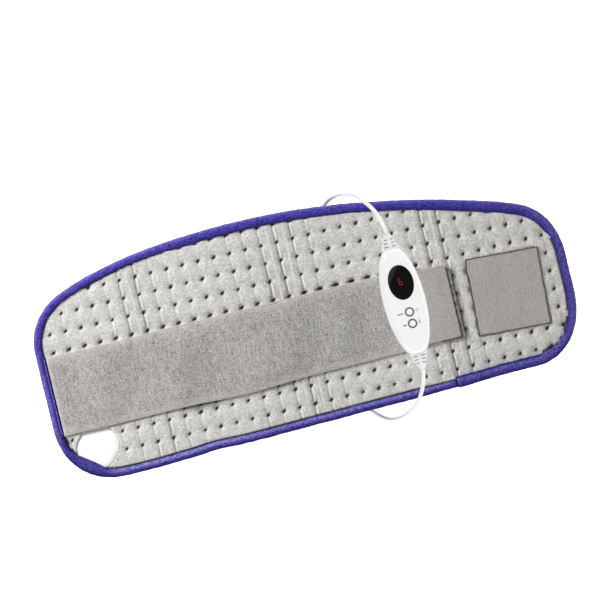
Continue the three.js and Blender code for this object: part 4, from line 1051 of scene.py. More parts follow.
indigo_thread = moulded_material("indigo_thread", (44, 36, 118), (28, 21, 86), 0.6, 0.7, 0.00005)
stitch_line = [tape_point(k % BINDING_RINGS, 0.0094, 0.01065) for k in range(BINDING_RINGS + 1)]
binding_stitches = stitch_row("binding_stitches", stitch_line, 0.0026, 0.0011, 0.00032, indigo_thread)

# Elastic strap: wide woven elastic webbing, sewn into the binding at its left end.
# It lies loose on the quilt and ends under the handset, where the hook tab is sewn to it.
# Lighter lines run along its edges.
STRAP_THICKNESS = 0.0016
STRAP_START, STRAP_END = -0.3252, 0.1503
STRAP_SEAMS = (-0.3205, -0.3185)

# Woven cloth: long uneven threads both ways, the points where they cross and broad uneven patches
weave, weave_in, weave_out = group_with(
    "weave", {"Threads": 700.0, "Points": 850.0, "Slubs": 50.0}, ["Tone", "Height"]
)
weave_place = add_node(weave, "ShaderNodeTexCoord").outputs["Object"]


def thread_tones(stretch, count):
    """Uneven threads or points, drawn out along one direction."""
    way = add_node(weave, "ShaderNodeMapping", {"Vector": weave_place, "Scale": stretch})
    threads = noise_node(weave, way.outputs[0], count, Detail=2.0, Roughness=0.6)
    return spread_node(weave, threads.outputs["Fac"], 0.3, 0.7)


weave_parts = (
    (thread_tones((1.0, 0.12, 1.0), weave_in.outputs["Threads"]), 0.3),
    (thread_tones((0.16, 1.0, 1.0), weave_in.outputs["Threads"]), 0.24),
    (thread_tones((1.0, 0.75, 1.0), weave_in.outputs["Points"]), 0.38),
    (thread_tones((1.0, 0.5, 1.0), weave_in.outputs["Slubs"]), 0.08),
)
weave_tone = 0.0
for part, share in weave_parts:
    weave_tone = math_node(weave, "ADD", math_node(weave, "MULTIPLY", part, share), weave_tone)
weave.links.new(spread_node(weave, weave_tone, 0.25, 0.75), weave_out.inputs["Tone"])
weave.links.new(weave_tone, weave_out.inputs["Height"])

strap_grey, strap_tree, strap_shader = new_material("strap_elastic", Roughness=0.9, Sheen_Weight=0.1)
strap_weave = use_group(strap_tree, weave, threads=850.0, points=880.0, slubs=26.0)
strap_face = two_tone(strap_tree, strap_weave, (112, 110, 107), (192, 189, 186))
# The strap is lighter on its selvage lines and on a painted highlight at its left end
strap_tone = mix_colours(strap_tree, painted(strap_tree, "selvage_and_highlight"), strap_face, colour(204, 200, 196))
give_surface(strap_tree, strap_shader, strap_tone, strap_weave, 0.0004)


def cloth_grid(x_range, y_range, steps, height):
    """A flat rectangle of cloth in small squares, laid at a height given for each place."""
    cloth = bmesh.new()
    bmesh.ops.create_grid(cloth, x_segments=steps[0], y_segments=steps[1], size=0.5)
    for vert in cloth.verts:
        vert.co.x = x_range[0] + (vert.co.x + 0.5) * (x_range[1] - x_range[0])
        vert.co.y = y_range[0] + (vert.co.y + 0.5) * (y_range[1] - y_range[0])
        vert.co.z = height(vert.co.x, vert.co.y)
    return cloth


# Each wave of the slack strap: its middle and width along the strap, and how far it rises
STRAP_WAVES = ((-0.156, 0.019, 0.0021), (-0.038, 0.038, 0.0021), (-0.255, 0.03, 0.001))


def strap_height(x, y):
    """Underside of the strap: on the quilt's crests, with slack waves and a soft left end."""
    along = x - 0.24 * y
    slack = 0.0013 * (1 + noise.noise((along * 26, y * 5, 9.0)))
    for middle, width, rise in STRAP_WAVES:
        slack += rise * bell(along - middle, width)
    slack *= ease((0.1 - x) / 0.05) * ease((x + 0.32) / 0.05)
    slack *= 0.25 + 0.75 * ease(min(y - STRAP_LOW, STRAP_HIGH - y) / 0.02)
    rim = 0.0005 * (1 - ease(min(y - STRAP_LOW, STRAP_HIGH - y) / 0.004))
    return crest(x) + 0.0004 + slack - rim + 0.00012 * noise.noise((x * 90, y * 60, 2.0))


strap = cloth_grid((STRAP_START, STRAP_END), (STRAP_LOW, STRAP_HIGH), (240, 100), strap_height)

# Each light line along the strap's edges: its distance from the edge, its width and how light it is
SELVAGE_LINES = (
    (0.0009, 0.0007, 0.5),
    (0.0035, 0.0008, 0.45),
    (0.0062, 0.0007, 0.25),
    (0.0088, 0.0007, 0.2),
)
selvage_and_highlight = strap.verts.layers.float.new("selvage_and_highlight")
for vert in strap.verts:
    inside = min(vert.co.y - STRAP_LOW, STRAP_HIGH - vert.co.y)
    vert[selvage_and_highlight] = sum(tone * bell(inside - at, wide) for at, wide, tone in SELVAGE_LINES)
    # Painted highlight along the strap's sewn left end
    vert[selvage_and_highlight] += 0.4 * (1 - ease((vert.co.x - STRAP_SEWN) / 0.013))
    upper = ease((vert.co.y - STRAP_LOW) / 0.06)
    vert.co.y += strap_rise(vert.co.x) * upper - strap_bow(vert.co.x) * (1 - upper)
    vert.co.y += 0.0004 * noise.noise((vert.co.x * 18, 0.5, 0.5))
strap_cloth = thicken(make_piece("strap_cloth", strap, strap_grey), STRAP_THICKNESS - 0.0002)
declare(strap_cloth, "webbing", "elastic_strap")
grey_thread = moulded_material("grey_thread", (150, 145, 141), (120, 116, 112), 0.7, 0.8, 0.00005)
strap_seams = []
for number, x in enumerate(STRAP_SEAMS):
    across = [STRAP_LOW + 0.002 + 0.096 * k / 40 for k in range(41)]
    seam = [(x, y, strap_height(x, y) + STRAP_THICKNESS) for y in across]
    strap_seam = stitch_row(f"strap_seam_{number + 1}", seam, 0.0024, 0.001, 0.0003, grey_thread)
    strap_seams.append(strap_seam)

# Hook tab: a strip of hook tape under a smooth brushed cover, sewn to the strap's free end.
# The hook tape shows past the cover as a rough olive border, and holds on the loop patch.
# The cover starts on the strap, beside the handset.
TAB_RIGHT = 0.1865
TAB_LOW, TAB_HIGH = -0.068, 0.025
TAB_CORNER = 0.004
HOOK_LEFT, HOOK_RIGHT = 0.163, 0.192
HOOK_LOW, HOOK_HIGH = -0.0708, 0.0222
BRISTLES = 900
tab_grey = pile_material("tab_brushed", (176, 172, 168), (144, 141, 137), 1000.0, 0.0002)


def tab_shape(cloth, left, right, low, high, corner):
    """Rounds off a tab's two right corners and lets its upper edge fall a little to the right."""
    for vert in cloth.verts:
        share = max(0.0, (vert.co.x - left) / (right - left))
        middle = (low + high) / 2
        near = max(0.0, vert.co.x - (right - corner)) / corner
        squeeze = corner * (1 - math.sqrt(max(0.0, 1 - near * near)))
        half = (high - low) / 2 - squeeze
        vert.co.y = middle + (vert.co.y - middle) * half / ((high - low) / 2)
        vert.co.y -= 0.0022 * share * (vert.co.y - low) / (high - low)


def tab_height(x, y):
    """Underside of the tab's cover: it steps down from the strap on to the hook tape."""
    wave = 0.0004 * noise.noise((x * 60, y * 40, 6.0)) + 0.0004 * ease((y - 0.0203) / 0.0008)
    return crest(x) + 0.00195 + wave + 0.0003 * ease((0.153 - x) / 0.004)


tab = cloth_grid((STRAP_END + 0.0003, TAB_RIGHT), (TAB_LOW, TAB_HIGH), (40, 124), tab_height)
for vert in tab.verts:
    drawn = 0.0115 * ease((-0.02 - vert.co.y) / 0.045) * (TAB_RIGHT - vert.co.x) / (TAB_RIGHT - STRAP_END)
    vert.co.x -= drawn
    vert.co.x += 0.0007 * noise.noise((3.0, vert.co.y * 140, 2.0)) * ease((vert.co.x - 0.176) / 0.01)
    vert.co.z = tab_height(vert.co.x, vert.co.y)
tab_shape(tab, STRAP_END, TAB_RIGHT, TAB_LOW, TAB_HIGH, TAB_CORNER)
tab_cover = thicken(make_piece("tab_cover", tab, tab_grey, body=None), 0.001)
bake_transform(tab_cover)
declare(tab_cover, "webbing", "strap_tab")

hook_olive, hook_tree, hook_shader = new_material("hook_tape", Roughness=0.85)
hook_fibre = use_group(hook_tree, pile, fibres=460.0, patches=260.0)
hook_face = two_tone(hook_tree, hook_fibre, (92, 88, 70), (196, 192, 177))
# Darker on the frayed border and on the painted shadow beside the tab cover
hook_tone = mix_colours(hook_tree, painted(hook_tree, "fray"), hook_face, colour(64, 60, 46))
give_surface(hook_tree, hook_shader, hook_tone, hook_fibre, 0.001)


def hook_height(x, y):
    """Underside of the hook tape."""
    return crest(x) + 0.00035 + 0.0002 * noise.noise((x * 90, y * 90, 3.0))


hooks = cloth_grid((HOOK_LEFT, HOOK_RIGHT), (HOOK_LOW, HOOK_HIGH), (30, 94), hook_height)
tab_shape(hooks, HOOK_LEFT, HOOK_RIGHT, HOOK_LOW, HOOK_HIGH, TAB_CORNER)
fray_and_shadow_layer = hooks.verts.layers.float.new("fray")
for vert in hooks.verts:
    # The dark border is the hook tape's frayed edge, with a painted shadow along the tab cover's edge
    border = min(HOOK_RIGHT - vert.co.x, vert.co.y - HOOK_LOW)
    beside = max(vert.co.x - TAB_RIGHT - 0.0006, -0.0686 - vert.co.y)
    ragged = 0.75 + 0.6 * noise.noise((vert.co.x * 200, vert.co.y * 200, 9.0))
    vert[fray_and_shadow_layer] = min(1.0, ragged * max(math.exp(-border / 0.0011), math.exp(-abs(beside) / 0.0011)))
    if vert.is_boundary:
        fray = noise.noise((vert.co.x * 260, vert.co.y * 260, 0.0))
        vert.co += Vector((0.0013 * fray if vert.co.x > 0.18 else 0, 0.0009 * fray, 0))
hook_tape = thicken(make_piece("hook_tape", hooks, hook_olive, body="strap_tab"), 0.001)
declare(hook_tape, "hooks", "hook_strip")
hook_bristles = bmesh.new()
bristle_chance = random.Random(3)
for k in range(BRISTLES):
    along_end = k % 3 != 0
    x = bristle_chance.uniform(0.1872, 0.1915) if along_end else bristle_chance.uniform(0.163, 0.19)
    y = bristle_chance.uniform(-0.067, 0.0185) if along_end else bristle_chance.uniform(-0.0705, -0.0688)
    lean = Matrix.Rotation(bristle_chance.uniform(-0.5, 0.5), 4, "X")
    lean = lean @ Matrix.Rotation(bristle_chance.uniform(-0.5, 0.5), 4, "Y")
    foot = Matrix.Translation((x, y, crest(x) + 0.0014))
    bmesh.ops.create_cone(
        hook_bristles,
        segments=4,
        radius1=0.00013,
        radius2=0.00008,
        depth=0.0009,
        cap_ends=True,
        matrix=foot @ lean,
    )
hook_pile = make_piece("hook_bristles", hook_bristles, hook_olive, body="strap_tab")

# Loop patch: ribbed loop tape, sewn on near the belt's right end by a dark zigzag round its edge.
# The tab fastens on it when the belt is worn.
PATCH_THICKNESS = 0.0014
PATCH_MIDDLE = Vector((0.2565, -0.0275))
RIB_PITCH = 0.0037
ZIGZAG_INSET = 0.0007
patch_grey, patch_tree, patch_shader = new_material("loop_patch", Roughness=0.92, Sheen_Weight=0.2)
patch_weave = use_group(patch_tree, weave, threads=900.0, points=900.0, slubs=60.0)
patch_top = two_tone(patch_tree, patch_weave, (155, 151, 149), (185, 181, 179))
# Painted shade between the ribs: the grooves take a darker copy of the patch's colour
patch_groove_shade = two_tone(patch_tree, patch_weave, (142, 138, 136), (170, 166, 164))
patch_tone = mix_colours(patch_tree, painted(patch_tree, "rib"), patch_groove_shade, patch_top)
# Darker along the edges: a painted shadow
patch_tone = mix_colours(patch_tree, painted(patch_tree, "edge"), patch_tone, colour(74, 69, 65))
give_surface(patch_tree, patch_shader, patch_tone, patch_weave, 0.0002)


def patch_ribs(x, y):
    """The ribs that the patch is knitted in, 0 between two ribs and 1 on a rib."""
    clear = 0.45 + 0.5 * ease(0.5 + 1.2 * noise.noise((x * 45, y * 30, 8.0)))
    ribs = (x - PATCH_LEFT) / RIB_PITCH + 0.35 * noise.noise((x * 9, y * 25, 3.0))
    return 0.5 + 0.5 * clear * math.cos(math.tau * ribs)


def patch_height(x, y):
    """Underside of the loop patch."""
    return crest(x) - 0.0014 + 0.00012 * patch_ribs(x, y) + 0.0002 * noise.noise((x * 40, y * 40, 7.0))


def patch_skew(x, y):
    """The patch is sewn on a little askew, and its left edge has a kink."""
    kink = 0.0016 * bell(y - 0.007, 0.006) * (1 - ease((x - PATCH_LEFT) / 0.02))
    stray = 0.0006 * noise.noise((x * 70, y * 70, 1.0)) + 0.0003 * noise.noise((x * 230, y * 230, 6.0))
    skew_x = 0.0028 * (PATCH_MIDDLE.y - y) / 0.049
    skew_y = 0.0025 * (x - PATCH_MIDDLE.x) / 0.0465
    return x - skew_x + stray - kink, y - skew_y + stray


patch = cloth_grid((PATCH_LEFT, PATCH_RIGHT), (PATCH_LOW, PATCH_HIGH), (216, 90), patch_height)
rib_tone = patch.verts.layers.float.new("rib")
edge_shadow_layer = patch.verts.layers.float.new("edge")
for vert in patch.verts:
    vert[rib_tone] = patch_ribs(vert.co.x, vert.co.y)
    # A painted shadow, uneven, along the patch's edges
    border = min(vert.co.x - PATCH_LEFT, PATCH_RIGHT - vert.co.x)
    border = min(border, vert.co.y - PATCH_LOW, PATCH_HIGH - vert.co.y)
    uneven = 0.75 + 0.5 * noise.noise((vert.co.x * 240, vert.co.y * 240, 4.0))
    vert[edge_shadow_layer] = min(1.0, 0.2 + uneven) * (1 - ease((border - 0.0012) / 0.0012))
    vert.co.x, vert.co.y = patch_skew(vert.co.x, vert.co.y)
patch_cloth = thicken(make_piece("patch_cloth", patch, patch_grey), PATCH_THICKNESS - 0.0002)
declare(patch_cloth, "webbing", "loop_patch")
dark_thread = moulded_material("dark_thread", (96, 92, 92), (72, 69, 70), 0.7, 0.8, 0.00005)
left, right = PATCH_LEFT + ZIGZAG_INSET, PATCH_RIGHT - ZIGZAG_INSET
low, high = PATCH_LOW + ZIGZAG_INSET, PATCH_HIGH - ZIGZAG_INSET
patch_corners = [(left, low), (right, low), (right, high), (left, high), (left, low)]
zigzag = []
for (x0, y0), (x1, y1) in zip(patch_corners, patch_corners[1:]):
    count = int(math.hypot(x1 - x0, y1 - y0) / 0.0013)
    for k in range(count):
        x, y = x0 + (x1 - x0) * k / count, y0 + (y1 - y0) * k / count
        side = 0.0007 if k % 2 else -0.0005
        x, y = (x, y + side) if abs(x1 - x0) > abs(y1 - y0) else (x + side, y)
        x, y = patch_skew(x, y)
        zigzag.append((x, y, crest(x) - 0.001 + PATCH_THICKNESS))
patch_seam = stitch_row("patch_seam", zigzag, 0.0016, 0.0002, 0.00034, dark_thread)

# Handset shells: two white glossy mouldings, screwed together, shaped like a long oval with its ends cut.
# The upper one has openings for the window and the buttons and a shallow oval step round the window.
# They are made about the handset's own axes, then laid tilted on the strap.
SHELL_HALF_WIDTH = 0.0267
SHELL_HALF_LENGTH = 0.0725
SHELL_END = 0.066
SHELL_HEIGHT = 0.024
SHELL_RADIUS = 0.007
RIM_HEIGHT = 0.0102
SHELL_SIDES = 112
WINDOW_PLACE = (0.0005, 0.0236)
WINDOW_HALF = (0.0156, 0.0218)
BUTTON_PLACES = {"power": (0.0014, -0.0144), "mode": (0.0014, -0.0292)}
SCREW_PLACES = ((0, 0.054), (0, -0.054))
SHELL_WALL = 0.0019
HANDSET_PLACE = (0.1263, -0.0086, 0.03365)
HANDSET_YAW = math.radians(1.4)
handset_tilt = Matrix.Rotation(math.atan(-slope(HANDSET_PLACE[0])), 4, "Y")
handset_tilt = handset_tilt @ Matrix.Rotation(HANDSET_YAW, 4, "Z")
on_strap = Matrix.Translation(HANDSET_PLACE) @ handset_tilt
shell_white = moulded_material(
    "shell_white", (250, 250, 250), (246, 246, 246), 0.22, 0.3, 0.000008, grain=900.0,
    Coat_Weight=0.25, Coat_Roughness=0.12,
)


def shell_ring(inset):
    """The shell's outline as seen from above, moved in by a distance, with soft corners."""
    half_width = SHELL_HALF_WIDTH - inset
    half_length = SHELL_HALF_LENGTH - inset
    end = SHELL_END - inset
    limit = math.sqrt(1 - (end / half_length) ** 2)
    ring = []
    for k in range(SHELL_SIDES):
        angle = math.tau * (k + 0.5) / SHELL_SIDES
        across, along = math.cos(angle), math.sin(angle)
        if abs(along) * half_length < end:
            ring.append((half_width * across, half_length * along))
        else:
            bow = 0.0016 * (1 - (across / limit) ** 2)
            ring.append((half_width * across, math.copysign(end + bow, along)))
    ring = np.array(ring)
    for _ in range(2):
        ring = (np.roll(ring, 1, 0) + 2 * ring + np.roll(ring, -1, 0)) / 4
    return ring


def shell_from(profile):
    """An open shell over rings of the outline; its profile is a list of inset and height."""
    shell = bmesh.new()
    order = shell.verts.layers.int.new("order")
    ring = bmesh.ops.create_circle(shell, segments=SHELL_SIDES, radius=1)["verts"]
    for k, vert in enumerate(ring):
        vert[order] = k
    edges = shell.edges[:]
    for number, (inset, height) in enumerate(profile):
        if number:
            ring, edges = next_ring(shell, edges)
        outline = shell_ring(inset)
        for vert in ring:
            vert.co = (*outline[vert[order]], height)
    bmesh.ops.edgeloop_fill(shell, edges=edges)
    bmesh.ops.recalc_face_normals(shell, faces=shell.faces)
    return shell


def oval_plug(place, half, low, high, sides=64):
    """A closed oval block, for cutting an opening."""
    plug = bmesh.new()
    oval = bmesh.ops.create_circle(plug, cap_ends=True, segments=sides, radius=1)["verts"]
    bmesh.ops.scale(plug, vec=(half[0], half[1], 1), verts=oval)
    bmesh.ops.translate(plug, vec=(place[0], place[1], low), verts=oval)
    grown = bmesh.ops.extrude_face_region(plug, geom=plug.faces[:])["geom"]
    bmesh.ops.translate(plug, vec=(0, 0, high - low), verts=verts_in(grown))
    bmesh.ops.recalc_face_normals(plug, faces=plug.faces)
    return plug


def settle(piece):
    """Turns a piece's modifiers into its mesh."""
    shaped = bpy.data.meshes.new_from_object(piece.evaluated_get(bpy.context.evaluated_depsgraph_get()))
    piece.modifiers.clear()
    piece.data = shaped


def cut_out(piece, cutter_meshes, lining=None):
    """Cuts closed shapes out of a piece, one after another; the cuts can be lined with a material."""
    for mesh in cutter_meshes:
        data = data_of("cutter", mesh)
        if lining:
            data.materials.append(lining)
        cutter = put_in_scene("cutter", data)
        opening = piece.modifiers.new("opening", "BOOLEAN")
        opening.operation = "DIFFERENCE"
        opening.solver = "EXACT"
        opening.material_mode = "TRANSFER"
        opening.object = cutter
        settle(piece)
        bpy.data.objects.remove(cutter)


def lay_on_strap(piece):
    """Moves a piece made about the handset's own axes to the handset's place."""
    piece.data.transform(on_strap)
    return piece


base_profile = [
    (0, 0.0098),
    (0.0003, 0.0058),
    (0.0009, 0.003),
    (0.0019, 0.0014),
    (0.0031, 0.0004),
    (0.0042, 0.0),
    (0.0064, 0.0),
]
base_shell = make_piece("handset_base", shell_from(base_profile), shell_white, sharp=40)
thicken(base_shell, SHELL_WALL, offset=-1.0)
settle(base_shell)
screw_sinks = [oval_plug(place, (0.0029, 0.0029), -0.002, 0.0024, 32) for place in SCREW_PLACES]
cut_out(base_shell, screw_sinks)
lay_on_strap(base_shell)
declare(base_shell, "white_shell", "handset_base_shell")

top_profile = []
for k in range(11):
    angle = math.pi / 2 * k / 10
    rise = (SHELL_HEIGHT - RIM_HEIGHT) * math.sin(angle)
    top_profile.append((SHELL_RADIUS * (1 - math.cos(angle)), RIM_HEIGHT + rise))
for k in range(1, 7):
    share = k / 6
    top_profile.append((SHELL_RADIUS + 0.0185 * share, SHELL_HEIGHT + 0.0002 * math.sin(share * math.pi / 2)))
top_shell = make_piece("handset_top", shell_from(top_profile), shell_white)
thicken(top_shell, SHELL_WALL, offset=-1.0)
settle(top_shell)
openings = [oval_plug((0.0012, 0.0225), (0.0192, 0.0268), 0.0237, 0.03, 96)]
openings.append(oval_plug(WINDOW_PLACE, (WINDOW_HALF[0] + 0.0002, WINDOW_HALF[1] + 0.0002), 0.015, 0.03, 96))
for place in BUTTON_PLACES.values():
    openings.append(oval_plug(place, (0.006, 0.006), 0.0231, 0.03, 48))
    openings.append(oval_plug(place, (0.0042, 0.0042), 0.015, 0.03, 48))
cut_out(top_shell, openings)
smooth_shading(top_shell.data, sharp=28)
lay_on_strap(top_shell)
declare(top_shell, "white_shell", "handset_top_shell")

# Board and what it carries: a green circuit board with a digit module, a triac, a film capacitor,
# a fuse, two terminals and two switches. It stands on four posts inside the handset, out of sight.
board_green = moulded_material("board_green", (44, 112, 66), (30, 84, 48), 0.35, 0.5, 0.00003)
capacitor_skin = moulded_material("capacitor_skin", (222, 184, 62), (196, 156, 40), 0.3, 0.45, 0.00003)
module_grey = moulded_material("module_grey", (226, 224, 220), (206, 204, 200), 0.45, 0.6, 0.00003)
fuse_glass = moulded_material("fuse_sleeve", (222, 214, 196), (202, 192, 170), 0.3, 0.5, 0.00003)
dress(board_green, "circuit_board", "mains_terminal", "pad_terminal")
dress(capacitor_skin, "film_capacitor")
dress(module_grey, "display_module")
dress(fuse_glass, "board_fuse")
dress(black_moulding, "triac", "power_switch", "mode_switch")

# Case screws: two plated pan-head screws that hold the shells together from below.
# They stay as the solids are, sunk in the lower shell.
plated = moulded_material(
    "plated_steel", (206, 208, 212), (176, 178, 182), 0.22, 0.4, 0.00001, grain=2600.0, rubs=300.0,
    Metallic=1.0,
)
dress(plated, "handset_screw_front", "handset_screw_back")

# Strain reliefs: soft white sleeves clamped between the shells, with three rows of paired slots
# that let them bend with the cord.
SHELL_SPLIT = 0.01
# Painted shade: the slots are lined with a darker grey than the sleeve
slot_shade = moulded_material("slot_shade", (232, 231, 229), (216, 215, 213), 0.6, 0.7, 0.00004)

# Each section of a sleeve: its place along the handset, half width and half height
RELIEF_SECTIONS = (
    (0.0597, 0.008, 0.005),
    (0.0627, 0.008, 0.005),
    (0.0627, 0.0057, 0.0037),
    (0.0663, 0.0057, 0.0037),
    (0.0663, 0.0109, 0.0068),
    (0.0668, 0.0113, 0.0071),
    (0.0695, 0.0104, 0.0067),
    (0.0725, 0.0093, 0.0062),
    (0.0755, 0.0081, 0.0057),
    (0.0785, 0.0069, 0.0051),
    (0.0815, 0.0058, 0.0046),
    (0.084, 0.0049, 0.0042),
    (0.0857, 0.0044, 0.004),
    (0.0863, 0.0038, 0.0035),
)
# Each row of slots: its place along the handset, how far out it lies, its half width and its height
SLOT_ROWS = (
    (0.0702, 0.0054, 0.0031, 0.0062),
    (0.0746, 0.0047, 0.0026, 0.0055),
    (0.079, 0.0038, 0.0022, 0.0047),
)


def join_meshes(meshes):
    """Several bmeshes in one."""
    whole = bmesh.new()
    for mesh in meshes:
        data = data_of("joined", mesh)
        whole.from_mesh(data)
        bpy.data.meshes.remove(data)
    return whole


def uprights_in(edges, height):
    """The edges that rise by more than a height."""
    return [edge for edge in edges if abs(edge.verts[0].co.z - edge.verts[1].co.z) > height]


def round_edges(mesh, edges, offset, segments):
    """Rounds off some edges of a mesh."""
    bmesh.ops.bevel(
        mesh,
        geom=edges,
        offset=offset,
        segments=segments,
        profile=0.5,
        affect="EDGES",
        material=-1,
    )


for node, side in (("mains_relief", 1), ("pad_relief", -1)):
    sleeve = lofted([(along * side, wide, high) for along, wide, high in RELIEF_SECTIONS], sides=40)
    bmesh.ops.translate(sleeve, vec=(0, 0, SHELL_SPLIT), verts=sleeve.verts)
    relief = make_piece(node + "_sleeve", sleeve, sleeve_white)
    slots = []
    for along, out, half, high in SLOT_ROWS:
        for flank in (1, -1):
            for face in (1, -1):
                slot_block = bmesh.new()
                size = Matrix.Diagonal((2 * half, 0.0015, 0.004, 1))
                where = Matrix.Translation((flank * out, side * along, SHELL_SPLIT + face * high))
                bmesh.ops.create_cube(slot_block, size=1, matrix=where @ size)
                round_edges(slot_block, uprights_in(slot_block.edges, 0.003), 0.0005, 3)
                slots.append(slot_block)
    cut_out(relief, [join_meshes(slots)], slot_shade)
    smooth_shading(relief.data, sharp=38)
    lay_on_strap(relief)
    declare(relief, "white_soft", node)

# Display window: a polished black oval lens in the upper shell, with one red digit lit behind it.
# A painted reflection, a pale wedge, lies across its upper left. The digit is made of the bars of a seven-bar
# display.
REFLECTION_WAY = (-0.805, 0.593, 0)


def lens_reflection(tree, tone):
    """The lens's colour, with a painted reflection: paler past a slanting line."""
    place = add_node(tree, "ShaderNodeTexCoord").outputs["Object"]
    across = add_node(tree, "ShaderNodeVectorMath", {0: place, 1: REFLECTION_WAY}, operation="DOT_PRODUCT")
    reflected = spread_node(tree, across.outputs["Value"], -0.0826, -0.0818, 0.0, 0.8)
    return mix_colours(tree, reflected, tone, colour(48, 44, 42))


lens_black = moulded_material(
    "lens_black", (17, 14, 13), (13, 11, 10), 0.06, 0.12, 0.000002, grain=300.0, over=lens_reflection,
    Specular_IOR_Level=0.12,
)
lens = oval_plug(WINDOW_PLACE, WINDOW_HALF, 0.0205, 0.02425, 96)
rim_edges = [e for e in lens.edges if all(v.co.z > 0.024 for v in e.verts)]
round_edges(lens, rim_edges, 0.0006, 4)
lens_piece = lay_on_strap(make_piece("display_lens", lens, lens_black, sharp=50))
declare(lens_piece, "black_lens", "display_window")
digit_red, digit_tree, digit_shader = new_material("digit_red", Roughness=0.3, Emission_Strength=0.38)
digit_skin = use_group(digit_tree, moulded, grain=3000.0, rubs=500.0)
digit_tone = two_tone(digit_tree, digit_skin, (186, 30, 24), (226, 52, 40))
digit_tree.links.new(digit_tone, digit_shader.inputs["Base Color"])
digit_tree.links.new(digit_tone, digit_shader.inputs["Emission Color"])
DIGIT_HALF = (0.0018, 0.004)
bars = [
    ((0, DIGIT_HALF[1]), "level"),
    ((0, 0), "level"),
    ((0, -DIGIT_HALF[1]), "level"),
    ((-DIGIT_HALF[0], DIGIT_HALF[1] / 2), "upright"),
    ((-DIGIT_HALF[0], -DIGIT_HALF[1] / 2), "upright"),
    ((DIGIT_HALF[0], -DIGIT_HALF[1] / 2), "upright"),
]
digit = bmesh.new()
for (across, along), way in bars:
    size = (0.003, 0.0004) if way == "level" else (0.0004, 0.0034)
    where = Matrix.Translation((WINDOW_PLACE[0] - 0.0006 + across - 0.08 * along, 0.0248 + along, 0.02427))
    bar = Matrix.Diagonal((size[0], size[1], 0.00012, 1))
    made = bmesh.ops.create_cube(digit, size=1, matrix=where @ bar)
    bar_edges = {edge for vert in made["verts"] for edge in vert.link_edges}
    round_edges(digit, uprights_in(bar_edges, 0.0001), 0.0002, 2)
digit_piece = lay_on_strap(make_piece("digit_bars", digit, digit_red, sharp=40))

# Buttons and their rings: two round white caps, slightly domed, each in a satin grey ring.
# Each cap presses a switch on the board and moves with its own body.
ring_grey = moulded_material("ring_grey", (118, 114, 110), (98, 94, 90), 0.35, 0.5, 0.00002)
for label, place in BUTTON_PLACES.items():
    collar = turned([
        (0.0043, 0.0234),
        (0.0043, 0.0241),
        (0.0045, 0.0243),
        (0.0051, 0.02435),
        (0.0056, 0.0243),
        (0.0058, 0.0241),
        (0.0058, 0.0234),
        (0.0043, 0.0234),
    ])
    bmesh.ops.translate(collar, vec=(*place, 0), verts=collar.verts)
    ring_piece = lay_on_strap(make_piece(label + "_ring", collar, ring_grey, sharp=50))
    declare(ring_piece, "grey_ring", label + "_button_ring")
    cap = turned([
        (0, 0.0205),
        (0.0052, 0.0205),
        (0.0052, 0.0217),
        (0.0039, 0.0217),
        (0.0039, 0.0244),
        (0.0037, 0.0247),
        (0.0032, 0.0249),
        (0.002, 0.02502),
        (0, 0.02505),
    ])
    bmesh.ops.translate(cap, vec=(*place, 0), verts=cap.verts)
    cap_piece = lay_on_strap(make_piece(label + "_cap", cap, shell_white, body=label + "_button", sharp=40))
    declare(cap_piece, "white_shell", label + "_button")

# Printed marks: grey function words to the left of the buttons and plain symbols to the right.
# They are printed on the upper shell, and are thin meshes on its surface.
print_grey = moulded_material("print_grey", (72, 69, 66), (58, 56, 53), 0.5, 0.6, 0.00001)
print_pale = moulded_material("print_pale", (150, 148, 146), (136, 134, 132), 0.5, 0.6, 0.00001)


def printed_word(name, word, height, place):
    """A word printed on the handset's top, as a thin mesh."""
    text = bpy.data.curves.new(name, "FONT")
    text.body = word
    text.size = height
    text.align_x = "RIGHT"
    text.align_y = "CENTER"
    text.extrude = 0.00004
    text.offset = 0.00007
    lettering = put_in_scene(name, text)
    data = bpy.data.meshes.new_from_object(lettering.evaluated_get(bpy.context.evaluated_depsgraph_get()))
    bpy.data.objects.remove(lettering)
    data.transform(Matrix.Translation((*place, SHELL_HEIGHT + 0.0002)))
    data.materials.clear()
    data.materials.append(print_grey)
    word_piece = lay_on_strap(put_in_scene(name, data))
    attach(word_piece, "belt")


printed_word("power_word", "ON/OFF", 0.0022, (-0.0064, -0.0148))
printed_word("mode_word", "TIME", 0.0022, (-0.0062, -0.0296))
sign_profile = [(0.0014, 0.02415), (0.0014, 0.02424), (0.0019, 0.02424), (0.0019, 0.02415)]
power_sign = turned(sign_profile + sign_profile[:1], 32)
bmesh.ops.translate(power_sign, vec=(0.0109, -0.014, 0), verts=power_sign.verts)
mode_sign = bmesh.new()
for along, wide in ((0.0014, 0.0008), (-0.0014, 0.0013)):
    where = Matrix.Translation((0.0104, -0.0284 + along, 0.0242))
    bmesh.ops.create_cube(mode_sign, size=1, matrix=where @ Matrix.Diagonal((wide, 0.0025, 0.00009, 1)))
for name, sign in (("power_sign", power_sign), ("mode_sign", mode_sign)):
    sign_piece = lay_on_strap(make_piece(name, sign, print_pale, sharp=40))

# Pad lead: a round white cord from the handset's lower end, over the belt's edge and back under it
# to the inlet. Soft sheath, 5 mm thick.
CORD_DIAMETER = 0.005
cord_white = moulded_material("cord_white", (248, 248, 248), (238, 238, 237), 0.38, 0.5, 0.00003)


